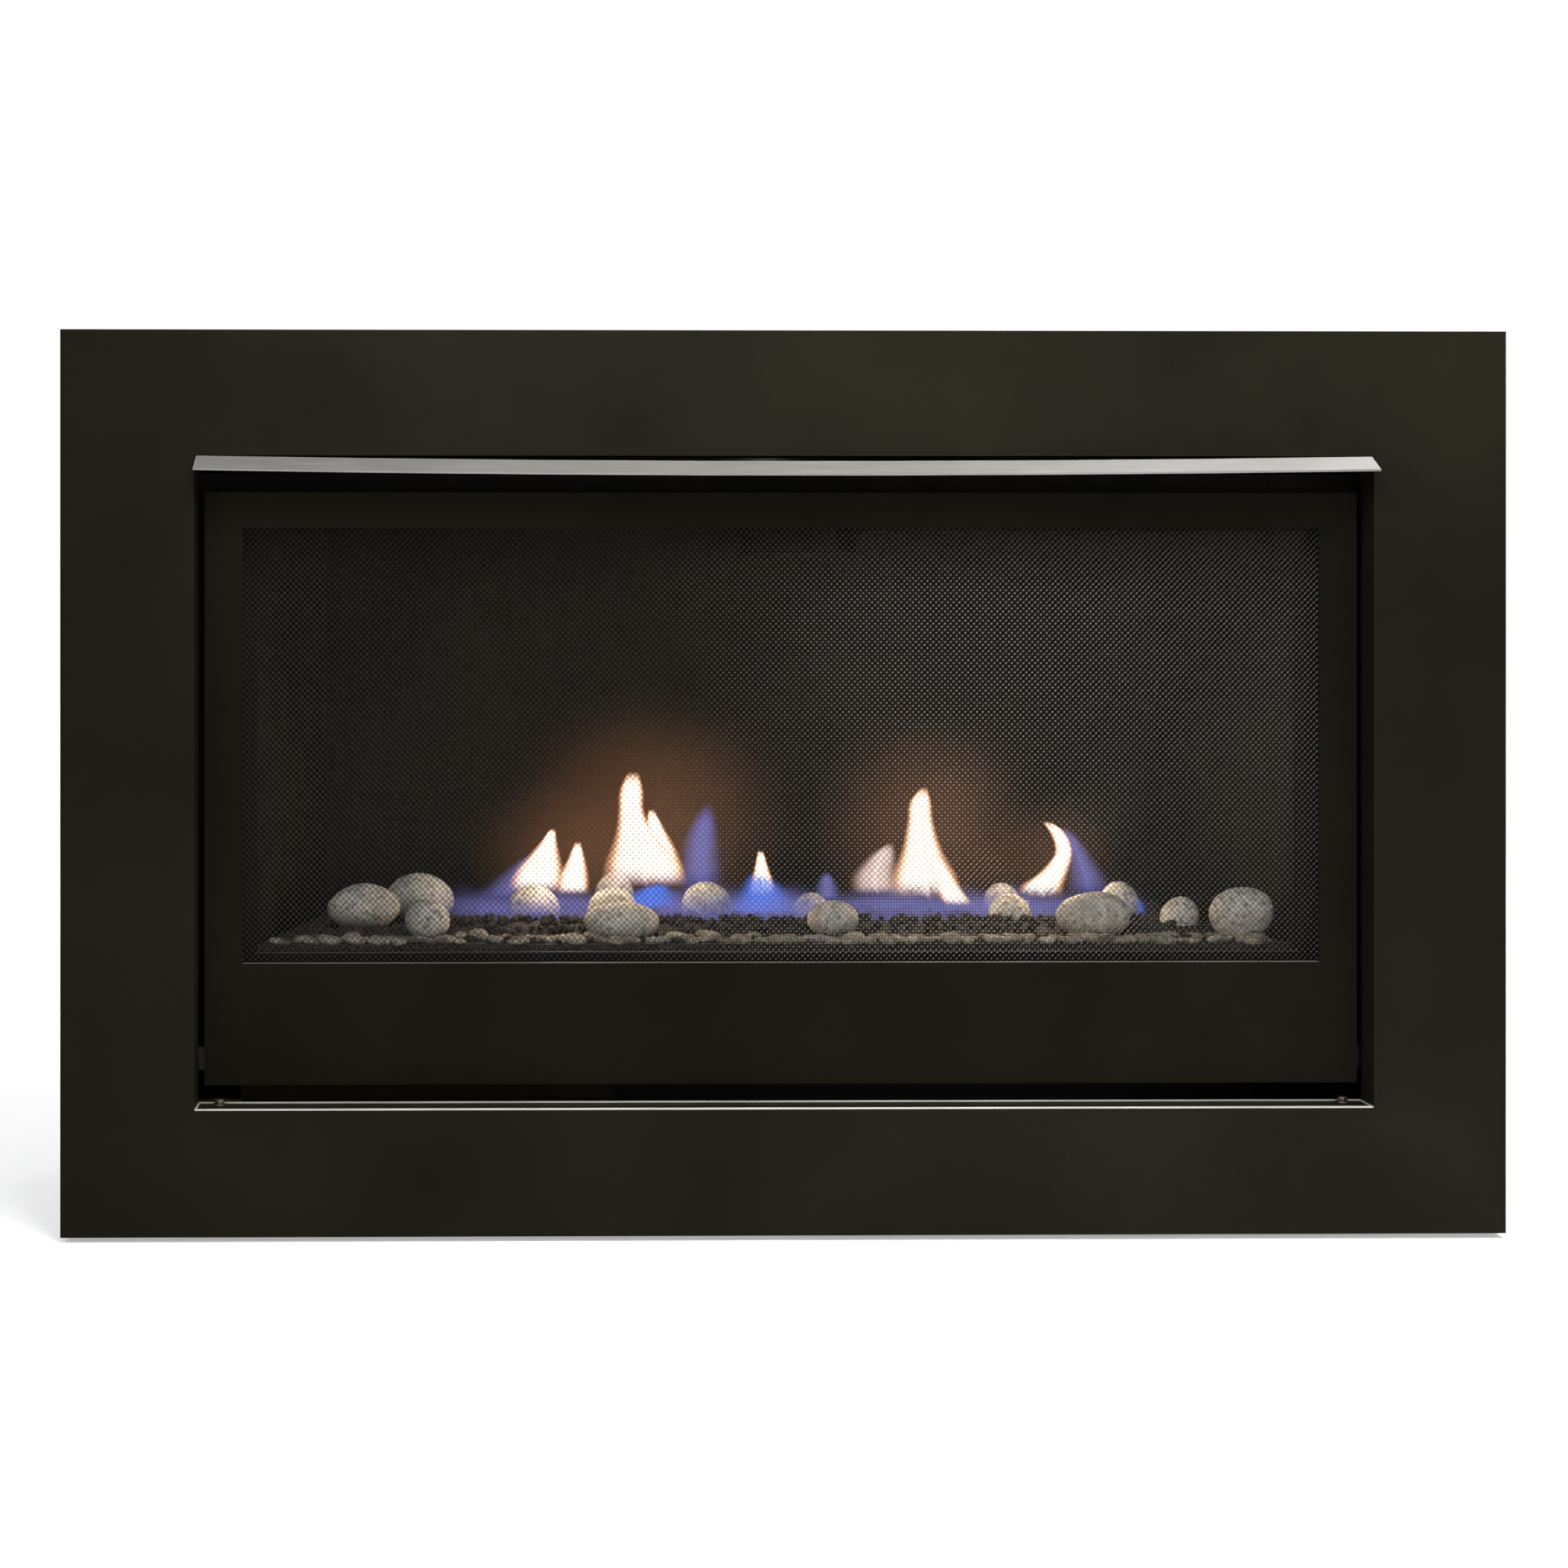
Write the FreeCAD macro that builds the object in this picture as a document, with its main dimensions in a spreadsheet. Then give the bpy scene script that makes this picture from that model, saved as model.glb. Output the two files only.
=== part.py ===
import FreeCAD, Part
import math
import os
import re

import Sketcher

# Direct vent gas fireplace: black surround, tilting safety barrier, sealed firebox, burner, controls, casing.
# X runs to the right of someone facing the fireplace, Y from front to back, Z up from the floor.

# Driving sizes in millimetres
SIZES = {
    # one overrun for all cuts, and the usual clearance between pieces that move past each other
    "overrun": 5.0,
    "clearance": 0.3,
    # casing
    "casing_inset": 83.0,
    "casing_depth": 360.0,
    "casing_top_gap": 32.0,
    "casing_sheet": 1.5,
    "casing_flange": 18.0,
    "foot_height": 6.0,
    "foot_radius": 20.0,
    "foot_rim": 2.0,
    "foot_inset": 60.0,
    "nailing_setback": 18.0,
    "nailing_leg": 34.0,
    "nailing_reach": 32.0,
    "nailing_sheet": 1.5,
    "nailing_bottom": 70.0,
    "nailing_top_gap": 86.0,
    "nailing_hole_inset": 18.0,
    "nailing_hole_radius": 3.5,
    "nailing_hole_first": 35.0,
    # coaxial vent
    "vent_inset": 142.0,
    "collar_sheet": 1.2,
    "collar_flange": 14.0,
    "intake_radius": 84.1,
    "intake_height": 45.0,
    "exhaust_radius": 50.8,
    "exhaust_stand": 6.0,
    # surround
    "surround_width": 1126.0,
    "surround_height": 704.0,
    "surround_depth": 22.0,
    "surround_sheet": 1.5,
    "surround_floor_gap": 4.0,
    "surround_lower_border": 98.0,
    "surround_side_border": 103.5,
    "surround_upper_border": 97.5,
    "opening_return": 31.0,
    "surround_bracket_leg": 34.0,
    "surround_bracket_reach": 24.0,
    "surround_bracket_sheet": 1.5,
    "surround_bracket_gap": 28.5,
    # hood strip
    "hood_reach": 20.0,
    "hood_drop": 11.0,
    "hood_sheet": 1.5,
    "hood_shelf": 28.0,
    "hood_bow": 3.8,
    "hood_end_gap": 1.5,
    # safety barrier
    "barrier_side_gap": 5.5,
    "barrier_top_gap": 27.5,
    "barrier_depth": 14.0,
    "barrier_sheet": 1.5,
    "barrier_setback": 24.0,
    "barrier_bottom_gap": 16.0,
    "barrier_stile": 30.0,
    "barrier_top_rail": 28.0,
    "barrier_panel_height": 95.0,
    "mesh_lap": 10.0,
    "mesh_sheet": 0.8,
    "mesh_border": 14.0,
    "pin_radius": 4.0,
    "pin_offset": 5.5,
    "pin_drop": 15.0,
    "pin_reach": 40.0,
    "pin_head_radius": 6.5,
    "pin_head": 2.5,
    "hook_sheet": 2.0,
    "hook_wall": 5.0,
    "hook_below": 7.0,
    "hook_height": 18.0,
    "magnet_width": 34.0,
    "magnet_depth": 11.0,
    "magnet_height": 20.0,
    "magnet_rise": 8.0,
    "magnet_round": 2.0,
    # glass assembly
    "glass_gap": 13.0,
    "glass_view_inset": 38.0,
    "glass_view_drop": 30.0,
    "glass_view_rise": 28.0,
    "glass_rail": 20.0,
    "glass_frame_depth": 12.0,
    "glass_frame_sheet": 2.0,
    "glass_thickness": 5.0,
    "glass_edge_gap": 1.0,
    "gasket_width": 13.0,
    "clip_width": 40.0,
    "clip_sheet": 2.0,
    "clip_overlap": 49.0,
    "clip_foot": 16.0,
    "latch_spread": 300.0,
    "latch_width": 12.0,
    "latch_sheet": 3.0,
    "latch_hub_radius": 5.0,
    "latch_pin_radius": 2.5,
    "latch_pivot_drop": 10.0,
    "latch_pivot_out": 8.0,
    "latch_catch": 8.0,
    "latch_handle_out": 14.0,
    "latch_handle_drop": 24.0,
    "ear_sheet": 1.5,
    "ear_gap": 1.0,
    "ear_height": 14.0,
    "ear_out": 15.0,
    # firebox
    "firebox_lift": 184.0,
    "firebox_top_gap": 86.0,
    "firebox_back_gap": 35.5,
    "firebox_side_gap": 50.0,
    "firebox_narrowing": 50.0,
    "firebox_sheet": 1.5,
    "firebox_margin": 10.0,
    "baffle_width": 90.0,
    "baffle_back_gap": 32.0,
    "baffle_drop": 48.0,
    "baffle_offset": 38.0,
    "baffle_sheet": 1.5,
    "baffle_setback": 120.0,
    "baffle_foot": 14.0,
    # burner
    "tray_height": 22.5,
    "tray_sheet": 1.5,
    "tray_side_gap": 8.0,
    "tray_front_gap": 6.0,
    "tray_back_gap": 14.0,
    "burner_setback": 127.0,
    "burner_radius": 9.0,
    "burner_left_gap": 225.0,
    "burner_right_gap": 130.0,
    "burner_port_radius": 1.6,
    "burner_port_margin": 20.0,
    "burner_slot_width": 15.0,
    "saddle_width": 30.0,
    "saddle_sheet": 4.0,
    "saddle_height": 7.0,
    "saddle_inset": 60.0,
    "venturi_radius": 6.5,
    "venturi_wall": 1.0,
    "venturi_length": 66.0,
    "venturi_insert": 12.0,
    "venturi_mouth": 9.5,
    "venturi_flare": 10.0,
    "shutter_wall": 1.2,
    "shutter_length": 16.0,
    "shutter_stand": 16.0,
    "window_length": 8.0,
    "window_width": 6.0,
    "injector_radius": 4.0,
    "injector_length": 12.0,
    "injector_tip": 2.2,
    "injector_nut": 5.5,
    "holder_radius": 7.0,
    "holder_below": 9.0,
    "holder_above": 19.0,
    "holder_nut": 10.0,
    "holder_nut_height": 4.0,
    # pilot
    "pilot_setback": 30.0,
    "pilot_base_width": 44.0,
    "pilot_base_depth": 18.0,
    "pilot_sheet": 1.5,
    "pilot_post": 15.0,
    "pilot_hood_radius": 5.0,
    "pilot_hood_height": 24.0,
    "pilot_hood_wall": 1.0,
    "pilot_hood_slot": 5.0,
    "pilot_hood_slot_width": 5.0,
    "electrode_radius": 3.0,
    "electrode_height": 17.0,
    "electrode_wire": 0.9,
    "electrode_wire_height": 9.0,
    "thermocouple_radius": 2.5,
    "thermocouple_height": 26.0,
    # bed and stones
    "bed_thickness": 8.0,
    "bed_inset": 3.0,
    "bed_pilot_gap": 2.0,
    "stone_length": 62.0,
    "stone_width": 46.0,
    "stone_height": 46.0,
    "chip_radius": 7.0,
    "chip_height": 6.0,
    "chip_first_row": 12.5,
    "chip_row_step": 18.0,
    # controls
    "control_setback": 49.0,
    "control_inset": 48.5,
    "control_width": 300.0,
    "control_height": 112.0,
    "control_sheet": 1.5,
    "control_foot": 30.0,
    "control_row": 64.0,
    "valve_inset": 130.0,
    "valve_width": 92.0,
    "valve_depth": 50.0,
    "valve_height": 60.0,
    "valve_round": 4.0,
    "valve_boss_radius": 10.0,
    "valve_boss": 8.0,
    "stem_radius": 4.0,
    "stem_in": 12.0,
    "stem_travel": 4.0,
    "stem_fit": 0.1,
    "knob_radius": 14.0,
    "knob_length": 16.0,
    "knob_gap": 5.0,
    "knob_bore": 14.0,
    "knob_skirt": 4.0,
    "knob_waist": 11.5,
    "knob_round": 1.5,
    "knob_grip": 3.0,
    "knob_spacing": 48.0,
    "flame_knob_radius": 10.0,
    "flame_knob_length": 14.0,
    "flame_knob_gap": 2.0,
    "igniter_spacing": 62.0,
    "igniter_radius": 9.0,
    "igniter_length": 44.0,
    "igniter_flange": 12.0,
    "igniter_flange_depth": 3.0,
    "igniter_button_radius": 6.0,
    "igniter_button_out": 9.0,
    "igniter_button_in": 14.0,
    "igniter_travel": 6.0,
    "igniter_round": 1.0,
    "switch_spacing": 104.0,
    "switch_width": 15.0,
    "switch_height": 24.0,
    "switch_depth": 20.0,
    "switch_bezel": 2.5,
    "switch_bezel_depth": 2.0,
    "rocker_width": 10.0,
    "rocker_height": 17.0,
    "rocker_out": 2.5,
    "rocker_in": 8.0,
    "rocker_gap": 1.3,
    "rocker_pivot_depth": 2.5,
    "rocker_pivot_radius": 1.6,
    "rocker_pivot_in": 2.0,
    "rocker_cavity": 14.0,
    # gas line
    "inlet_level": 64.0,
    "inlet_front_gap": 180.0,
    "inlet_bore": 9.3,
    "inlet_depth": 20.0,
    "inlet_radius": 14.0,
    "inlet_hole": 11.5,
    "inlet_slot": 58.5,
    "inlet_slot_height": 60.0,
    "shutoff_length": 56.0,
    "shutoff_waist": 11.0,
    "shutoff_neck_radius": 6.0,
    "shutoff_neck": 22.0,
    "shutoff_stud_radius": 3.0,
    "shutoff_stud": 5.0,
    "shutoff_lever_hub": 8.0,
    "shutoff_lever_width": 9.0,
    "shutoff_lever_length": 48.0,
    "shutoff_lever_sheet": 4.0,
    "connector_radius": 6.0,
    "connector_bend": 24.0,
    "main_tube_radius": 5.0,
    "main_tube_bend": 24.0,
    "pilot_tube_radius": 2.4,
    "pilot_tube_bend": 16.0,
    "pilot_tube_spread": 26.0,
    "pilot_tube_level": 80.0,
    "tube_hole_gap": 0.6,
}

# Turns in degrees, and counts
TURNS = {
    "stone_turn": 25.0,
    "rocker_turn": 7.0,
}
COUNTS = {
    "nailing_hole_count": 4,
    "mesh_column_count": 24,
    "mesh_row_count": 11,
    "burner_port_count": 18,
    "chip_side_count": 6,
}
SHARES = {
    "mesh_gap_share": 0.8,
    "stone_seat_share": 0.7,
    "pilot_offset_share": 0.594,
}

# Places worked out from the sizes
PLACES = {
    "surround_front": "hood_reach - (hood_reach + surround_depth + casing_depth) / 2",
    "casing_front": "surround_front + surround_depth",
    "casing_back": "casing_front + casing_depth",
    "casing_width": "surround_width - 2 * casing_inset",
    "casing_top": "surround_floor_gap + surround_height - casing_top_gap",
    "casing_height": "casing_top - foot_height",
    "casing_floor": "foot_height + casing_sheet",
    "casing_side": "casing_width / 2 - casing_sheet",
    "nailing_height": "casing_top - nailing_top_gap - nailing_bottom",
    "nailing_hole_spacing": "(nailing_height - 2 * nailing_hole_first) / (nailing_hole_count - 1)",
    "vent_place": "casing_back - vent_inset",
    "opening_width": "surround_width - 2 * surround_side_border",
    "opening_bottom": "surround_floor_gap + surround_lower_border",
    "opening_top": "surround_floor_gap + surround_height - surround_upper_border",
    "barrier_front": "surround_front + barrier_setback",
    "barrier_back": "barrier_front + barrier_depth",
    "barrier_bottom": "opening_bottom + barrier_bottom_gap",
    "barrier_top": "opening_top - barrier_top_gap",
    "barrier_width": "opening_width - 2 * barrier_side_gap",
    "mesh_bottom": "barrier_bottom + barrier_panel_height",
    "mesh_width": "barrier_width - 2 * barrier_stile",
    "mesh_height": "barrier_top - barrier_top_rail - mesh_bottom",
    "pin_place": "barrier_back + pin_offset",
    "pin_level": "barrier_top - pin_drop",
    "firebox_bottom": "foot_height + firebox_lift",
    "firebox_top": "casing_top - firebox_top_gap",
    "firebox_height": "firebox_top - firebox_bottom",
    "firebox_front_width": "casing_width - 2 * firebox_side_gap",
    "firebox_back_width": "firebox_front_width - 2 * firebox_narrowing",
    "glass_front": "barrier_back + glass_gap",
    "firebox_face": "glass_front + glass_frame_depth",
    "firebox_start": "firebox_face + firebox_sheet",
    "firebox_end": "casing_back - firebox_back_gap",
    "firebox_depth": "firebox_end - firebox_start",
    "baffle_depth": "firebox_depth - baffle_setback - baffle_back_gap",
    "view_bottom": "firebox_bottom + glass_view_rise",
    "view_top": "firebox_top - glass_view_drop",
    "glass_view_width": "barrier_width - 2 * glass_view_inset",
    "frame_half_width": "glass_view_width / 2 + glass_rail",
    "frame_bottom": "view_bottom - glass_rail",
    "frame_top": "view_top + glass_rail",
    "pane_half_width": "frame_half_width - glass_frame_sheet - glass_edge_gap",
    "pane_bottom": "frame_bottom + glass_frame_sheet + glass_edge_gap",
    "pane_top": "frame_top - glass_frame_sheet - glass_edge_gap",
    "latch_place": "firebox_face - latch_pivot_out",
    "latch_level": "frame_bottom - latch_pivot_drop",
    "hearth": "firebox_bottom + firebox_sheet",
    "deck": "hearth + tray_height",
    "bed_top": "deck + bed_thickness",
    "tray_start": "firebox_start + tray_front_gap",
    "tray_end": "firebox_end - tray_back_gap",
    "tray_depth": "tray_end - tray_start",
    "wall_taper": "firebox_narrowing / firebox_depth",
    "tray_front_half": "firebox_front_width / 2 - wall_taper * tray_front_gap - tray_side_gap",
    "tray_back_half": "tray_front_half - wall_taper * tray_depth",
    "burner_place": "firebox_start + burner_setback",
    "burner_level": "hearth + (tray_height - tray_sheet) / 2",
    "burner_left": "firebox_front_width / 2 - burner_left_gap",
    "burner_right": "firebox_front_width / 2 - burner_right_gap",
    "pilot_offset": "pilot_offset_share * tray_front_half",
    "venturi_end": "burner_left + venturi_length - venturi_insert",
    "shutter_place": "venturi_end - shutter_stand",
    "holder_place": "venturi_end + injector_length + holder_radius",
    "pilot_place": "burner_place + pilot_setback",
    "control_face": "casing_front + control_setback",
    "control_left": "casing_side - control_inset",
    "valve_centre": "control_left - valve_inset",
    "control_back": "control_face + control_sheet",
    "control_level": "casing_floor + control_row",
    "stem_tip": "control_face - knob_gap - knob_bore + clearance",
    "stem_end": "control_back + stem_in",
    "knob_place": "-(valve_centre + knob_spacing / 2)",
    "flame_knob_place": "-(valve_centre - knob_spacing / 2)",
    "igniter_place": "flame_knob_place + igniter_spacing",
    "switch_place": "flame_knob_place + switch_spacing",
    "valve_back": "control_back + valve_depth",
    "valve_left": "-(valve_centre + valve_width / 2)",
    "line_place": "casing_front + inlet_front_gap",
    "line_height": "casing_floor + inlet_level",
}

document = FreeCAD.newDocument("gas_fireplace")
sheet = document.addObject("Spreadsheet::Sheet", "Sizes")
NAMED = {**SIZES, **TURNS, **COUNTS, **SHARES}
for row, (name, value) in enumerate(NAMED.items(), start=1):
    sheet.set("A%d" % row, name)
    sheet.set("B%d" % row, str(value))
    sheet.setAlias("B%d" % row, name)
document.recompute()

PIECES = []
UP = FreeCAD.Vector(0, 0, 1)
ALONG_X, ALONG_Y = (1, 0, 0), (0, 1, 0)
# How far two directions, and two volumes as a share, may differ and still count as equal
DIRECTION_ROOM = 1e-6
VOLUME_ROOM_SHARE = 0.001
# Each drawing plane with its origin plane, and whether the third axis runs against its normal
PLANES = {"XY": ("XY_Plane", False), "XZ": ("XZ_Plane", True), "YZ": ("YZ_Plane", False)}
# Turns that carry the Z axis to each direction
FACING = {
    "up": FreeCAD.Rotation(),
    "front": FreeCAD.Rotation(FreeCAD.Vector(1, 0, 0), 90),
    "back": FreeCAD.Rotation(FreeCAD.Vector(1, 0, 0), -90),
    "right": FreeCAD.Rotation(FreeCAD.Vector(0, 1, 0), 90),
    "left": FreeCAD.Rotation(FreeCAD.Vector(0, 1, 0), -90),
}


def formula(text):
    """Spell a formula of named sizes and places as an expression on the sheet."""
    def spell(match):
        word = match.group(0)
        if word in PLACES:
            return "(" + formula(PLACES[word]) + ")"
        return "Sizes." + word if word in NAMED else word
    return re.sub(r"[a-z][a-z0-9_]*", spell, text)


def number(text):
    """Work out a formula of named sizes and places."""
    return float(sheet.evalExpression(formula(text)))


def point(x, y, z):
    """Work out a point from three formulas."""
    return FreeCAD.Vector(number(x), number(y), number(z))


def bind(item, **formulas):
    """Tie properties of an object to formulas of named sizes."""
    for name, text in formulas.items():
        item.setExpression(name, formula(text))
    return item


def put(item, x="0", y="0", z="0", facing="up"):
    """Place an object with its Z axis turned to a direction."""
    item.Placement = FreeCAD.Placement(FreeCAD.Vector(), FACING[facing])
    for axis, text in (("x", x), ("y", y), ("z", z)):
        item.setExpression("Placement.Base." + axis, formula(text))
    return item


def keep(item, label):
    """Name an object as a finished piece."""
    item.Label = label
    PIECES.append(item)
    return item


def rectangle(left, right, bottom, top):
    return [(left, bottom), (right, bottom), (right, top), (left, top)]


def centred(width, bottom, top):
    """A rectangle that is centred on X."""
    return rectangle("-(%s) / 2" % width, "(%s) / 2" % width, bottom, top)


def circle(across, along, radius):
    return {"across": across, "along": along, "radius": radius}


def fix(sketch, kind, places, text):
    """Add a constraint whose value follows a formula."""
    index = sketch.addConstraint(Sketcher.Constraint(kind, *places, number(text)))
    sketch.setExpression("Constraints[%d]" % index, formula(text))


def draw(sketch, outline):
    """Draw a closed outline of corners, or a circle, with every size tied to the sheet."""
    first = sketch.GeometryCount
    if isinstance(outline, dict):
        centre = FreeCAD.Vector(number(outline["across"]), number(outline["along"]), 0)
        sketch.addGeometry(Part.Circle(centre, UP, number(outline["radius"])), False)
        fix(sketch, "DistanceX", (-1, 1, first, 3), outline["across"])
        fix(sketch, "DistanceY", (-1, 1, first, 3), outline["along"])
        fix(sketch, "Radius", (first,), outline["radius"])
        return
    corners = [FreeCAD.Vector(number(across), number(along), 0) for across, along in outline]
    count = len(corners)
    for index in range(count):
        sketch.addGeometry(Part.LineSegment(corners[index], corners[(index + 1) % count]), False)
    for index in range(count):
        following = first + (index + 1) % count
        sketch.addConstraint(Sketcher.Constraint("Coincident", first + index, 2, following, 1))
    for index, (across, along) in enumerate(outline):
        fix(sketch, "DistanceX", (-1, 1, first + index, 1), across)
        fix(sketch, "DistanceY", (-1, 1, first + index, 1), along)


def add_sketch(body, plane, outlines, start="0"):
    """Draw outlines on one of a body's own planes, moved to a start along the third axis."""
    role, against = PLANES[plane]
    sketch = body.newObject("Sketcher::SketchObject", body.Name + "_outline")
    support = [feature for feature in body.Origin.OriginFeatures if feature.Role == role][0]
    sketch.AttachmentSupport = [(support, "")]
    sketch.MapMode = "FlatFace"
    sign = "-" if against else ""
    sketch.setExpression("AttachmentOffset.Base.z", formula("%s(%s)" % (sign, start)))
    for outline in outlines:
        draw(sketch, outline)
    return sketch


def pad(body, plane, outlines, start, depth):
    """Add outlines, padded from a start along the third axis by a depth, to a body."""
    feature = body.newObject("PartDesign::Pad", body.Name + "_pad")
    feature.Profile = add_sketch(body, plane, outlines, start)
    feature.Reversed = PLANES[plane][1]
    bind(feature, Length=depth)
    body.Tip = feature
    return body


def plate(name, plane, outlines, start, depth):
    """A body of its own that starts with one pad."""
    return pad(document.addObject("PartDesign::Body", name), plane, outlines, start, depth)


def pocket(body, plane, outlines, start, depth):
    """Cut outlines into a body from a start along the third axis, and see that it removes metal."""
    document.recompute()
    before = body.Shape.Volume
    cut = body.newObject("PartDesign::Pocket", body.Name + "_pocket")
    cut.Profile = add_sketch(body, plane, outlines, start)
    cut.Reversed = not PLANES[plane][1]
    bind(cut, Length=depth)
    body.Tip = cut
    document.recompute()
    assert body.Shape.Volume < before, body.Name + " pocket cuts nothing"
    return body


def turned(name, profile):
    """Revolve a profile of radius and height pairs about the Z axis, as a body of its own."""
    body = document.addObject("PartDesign::Body", name)
    sketch = add_sketch(body, "XZ", [profile])
    spin = body.newObject("PartDesign::Revolution", name + "_turn")
    spin.Profile = sketch
    spin.ReferenceAxis = (sketch, ["V_Axis"])
    body.Tip = spin
    return body


def block(name, x, y, z, width, depth, height):
    """A box from its lowest corner and its three sizes."""
    box = document.addObject("Part::Box", name)
    bind(box, Length=width, Width=depth, Height=height)
    return put(box, x, y, z)


def rod(name, x, y, z, radius, length, facing="up"):
    """A cylinder from the centre of its first end."""
    cylinder = document.addObject("Part::Cylinder", name)
    bind(cylinder, Radius=radius, Height=length)
    return put(cylinder, x, y, z, facing)


def joined(name, items):
    fuse = document.addObject("Part::MultiFuse", name)
    fuse.Shapes = items
    fuse.Refine = True
    return fuse


def carved(name, base, tools):
    """Cut tools out of a base."""
    cut = document.addObject("Part::Cut", name)
    cut.Base = base
    cut.Tool = tools[0] if len(tools) == 1 else joined(name + "_tools", tools)
    return cut


def group(label, items):
    """Keep separate solids together as one piece of the list."""
    compound = document.addObject("Part::Compound", label)
    compound.Links = items
    return keep(compound, label)


def rounded(name, base, edges, radius):
    """Round the edges of an object whose direction and place a test picks."""
    document.recompute()
    fillet = document.addObject("Part::Fillet", name)
    fillet.Base = base
    size = number(radius)
    picked = [index for index, edge in enumerate(base.Shape.Edges, start=1) if edges(edge)]
    fillet.Edges = [(index, size, size) for index in picked]
    return fillet


def along(direction):
    """Pick straight edges that run along a direction."""
    axis = FreeCAD.Vector(*direction)
    return lambda edge: (edge.Curve.TypeId == "Part::GeomLine"
                         and edge.tangentAt(edge.FirstParameter).cross(axis).Length < DIRECTION_ROOM)


def bent_tube(label, corners, radius, bend):
    """A round tube along straight runs that arcs join, checked against its section times its length."""
    size = number(radius)
    curve = number(bend)
    edges = []
    start = corners[0]
    for before, corner, after in zip(corners, corners[1:], corners[2:]):
        inward = (before - corner).normalize()
        outward = (after - corner).normalize()
        half = inward.getAngle(outward) / 2
        reach = curve / math.tan(half)
        middle = (inward + outward).normalize() * (curve / math.sin(half) - curve)
        first, last = corner + inward * reach, corner + outward * reach
        edges.append(Part.LineSegment(start, first).toShape())
        edges.append(Part.Arc(first, corner + middle, last).toShape())
        start = last
    edges.append(Part.LineSegment(start, corners[-1]).toShape())
    path = Part.Wire(edges)
    section = Part.Wire(Part.Circle(corners[0], corners[1] - corners[0], size).toShape())
    tube = document.addObject("Part::Feature", label)
    tube.Shape = path.makePipeShell([section], True, False)
    expected = math.pi * size ** 2 * path.Length
    assert abs(tube.Shape.Volume - expected) < expected * VOLUME_ROOM_SHARE, label + " has the wrong volume"
    return keep(tube, label)


SIDES = {"left": "-1", "right": "1"}


def corners_of(sign, pairs):
    """Mirror corners whose X is written for the right side onto a side."""
    return [("%s * (%s)" % (sign, x), y) for x, y in pairs]


# Casing: five folded panels on feet, with nailing flanges that meet the wall framing
def make_casing():
    inner = "casing_width / 2 - casing_flange"
    walls = "casing_height - 2 * casing_sheet"
    base = plate("casing_base", "XY", [centred("casing_width", "casing_front", "casing_back")],
                 "foot_height", "casing_sheet")
    pad(base, "XZ", [centred("2 * (%s)" % inner, "casing_floor", "casing_floor + casing_flange")],
        "casing_front", "casing_sheet")
    keep(base, "casing_base")

    lid = plate("casing_top", "XY", [centred("casing_width", "casing_front", "casing_back"),
                                     circle("0", "vent_place", "intake_radius - collar_sheet")],
                "casing_top - casing_sheet", "casing_sheet")
    underside = "casing_top - casing_sheet"
    pad(lid, "XZ", [centred("2 * (%s)" % inner, underside + " - casing_flange", underside)],
        "casing_front", "casing_sheet")
    keep(lid, "casing_top")

    for side, sign in SIDES.items():
        profile = [("casing_width / 2", "casing_front"), (inner, "casing_front"),
                   (inner, "casing_front + casing_sheet"), ("casing_side", "casing_front + casing_sheet"),
                   ("casing_side", "casing_back"), ("casing_width / 2", "casing_back")]
        wall = plate("casing_%s_side" % side, "XY", [corners_of(sign, profile)], "casing_floor", walls)
        if side == "left":
            pocket(wall, "YZ", [rectangle("line_place - inlet_hole", "line_place + inlet_slot",
                                          "line_height - inlet_slot_height / 2",
                                          "line_height + inlet_slot_height / 2")],
                   "-casing_width / 2 - overrun", "casing_sheet + 2 * overrun")
        keep(wall, "casing_%s_side" % side)

    keep(plate("casing_back", "XZ", [centred("2 * casing_side", "casing_floor", "casing_floor + " + walls)],
               "casing_back - casing_sheet", "casing_sheet"), "casing_back")


def make_feet():
    profile = [("0", "0"), ("foot_radius - foot_rim", "0"), ("foot_radius", "foot_rim"),
               ("foot_radius", "foot_height"), ("0", "foot_height")]
    feet = []
    for sign in SIDES.values():
        for place in ("casing_front + foot_inset", "casing_back - foot_inset"):
            foot = turned("foot", profile)
            feet.append(put(foot, sign + " * (casing_width / 2 - foot_inset)", place, "0"))
    group("levelling_feet", feet)


def make_nailing_flanges():
    front = "casing_front + nailing_setback"
    wall = "casing_width / 2"
    profile = [(wall, front), (wall + " + nailing_reach", front),
               (wall + " + nailing_reach", front + " + nailing_sheet"),
               (wall + " + nailing_sheet", front + " + nailing_sheet"),
               (wall + " + nailing_sheet", front + " + nailing_leg"), (wall, front + " + nailing_leg")]
    for side, sign in SIDES.items():
        flange = plate("nailing_flange_" + side, "XY", [corners_of(sign, profile)],
                       "nailing_bottom", "nailing_height")
        holes = [circle("%s * (%s + nailing_hole_inset)" % (sign, wall),
                        "nailing_bottom + nailing_hole_first + %d * nailing_hole_spacing" % index,
                        "nailing_hole_radius") for index in range(COUNTS["nailing_hole_count"])]
        pocket(flange, "XZ", holes, front + " - overrun", "nailing_sheet + 2 * overrun")
        keep(flange, "nailing_flange_" + side)


# Coaxial vent: fresh air comes down the outer collar, exhaust leaves by the inner one
def make_collar(label, radius, level, height):
    profile = [(radius + " - collar_sheet", "0"), (radius + " + collar_flange", "0"),
               (radius + " + collar_flange", "collar_sheet"), (radius, "collar_sheet"),
               (radius, height), (radius + " - collar_sheet", height)]
    keep(put(turned(label, profile), "0", "vent_place", level), label)


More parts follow.
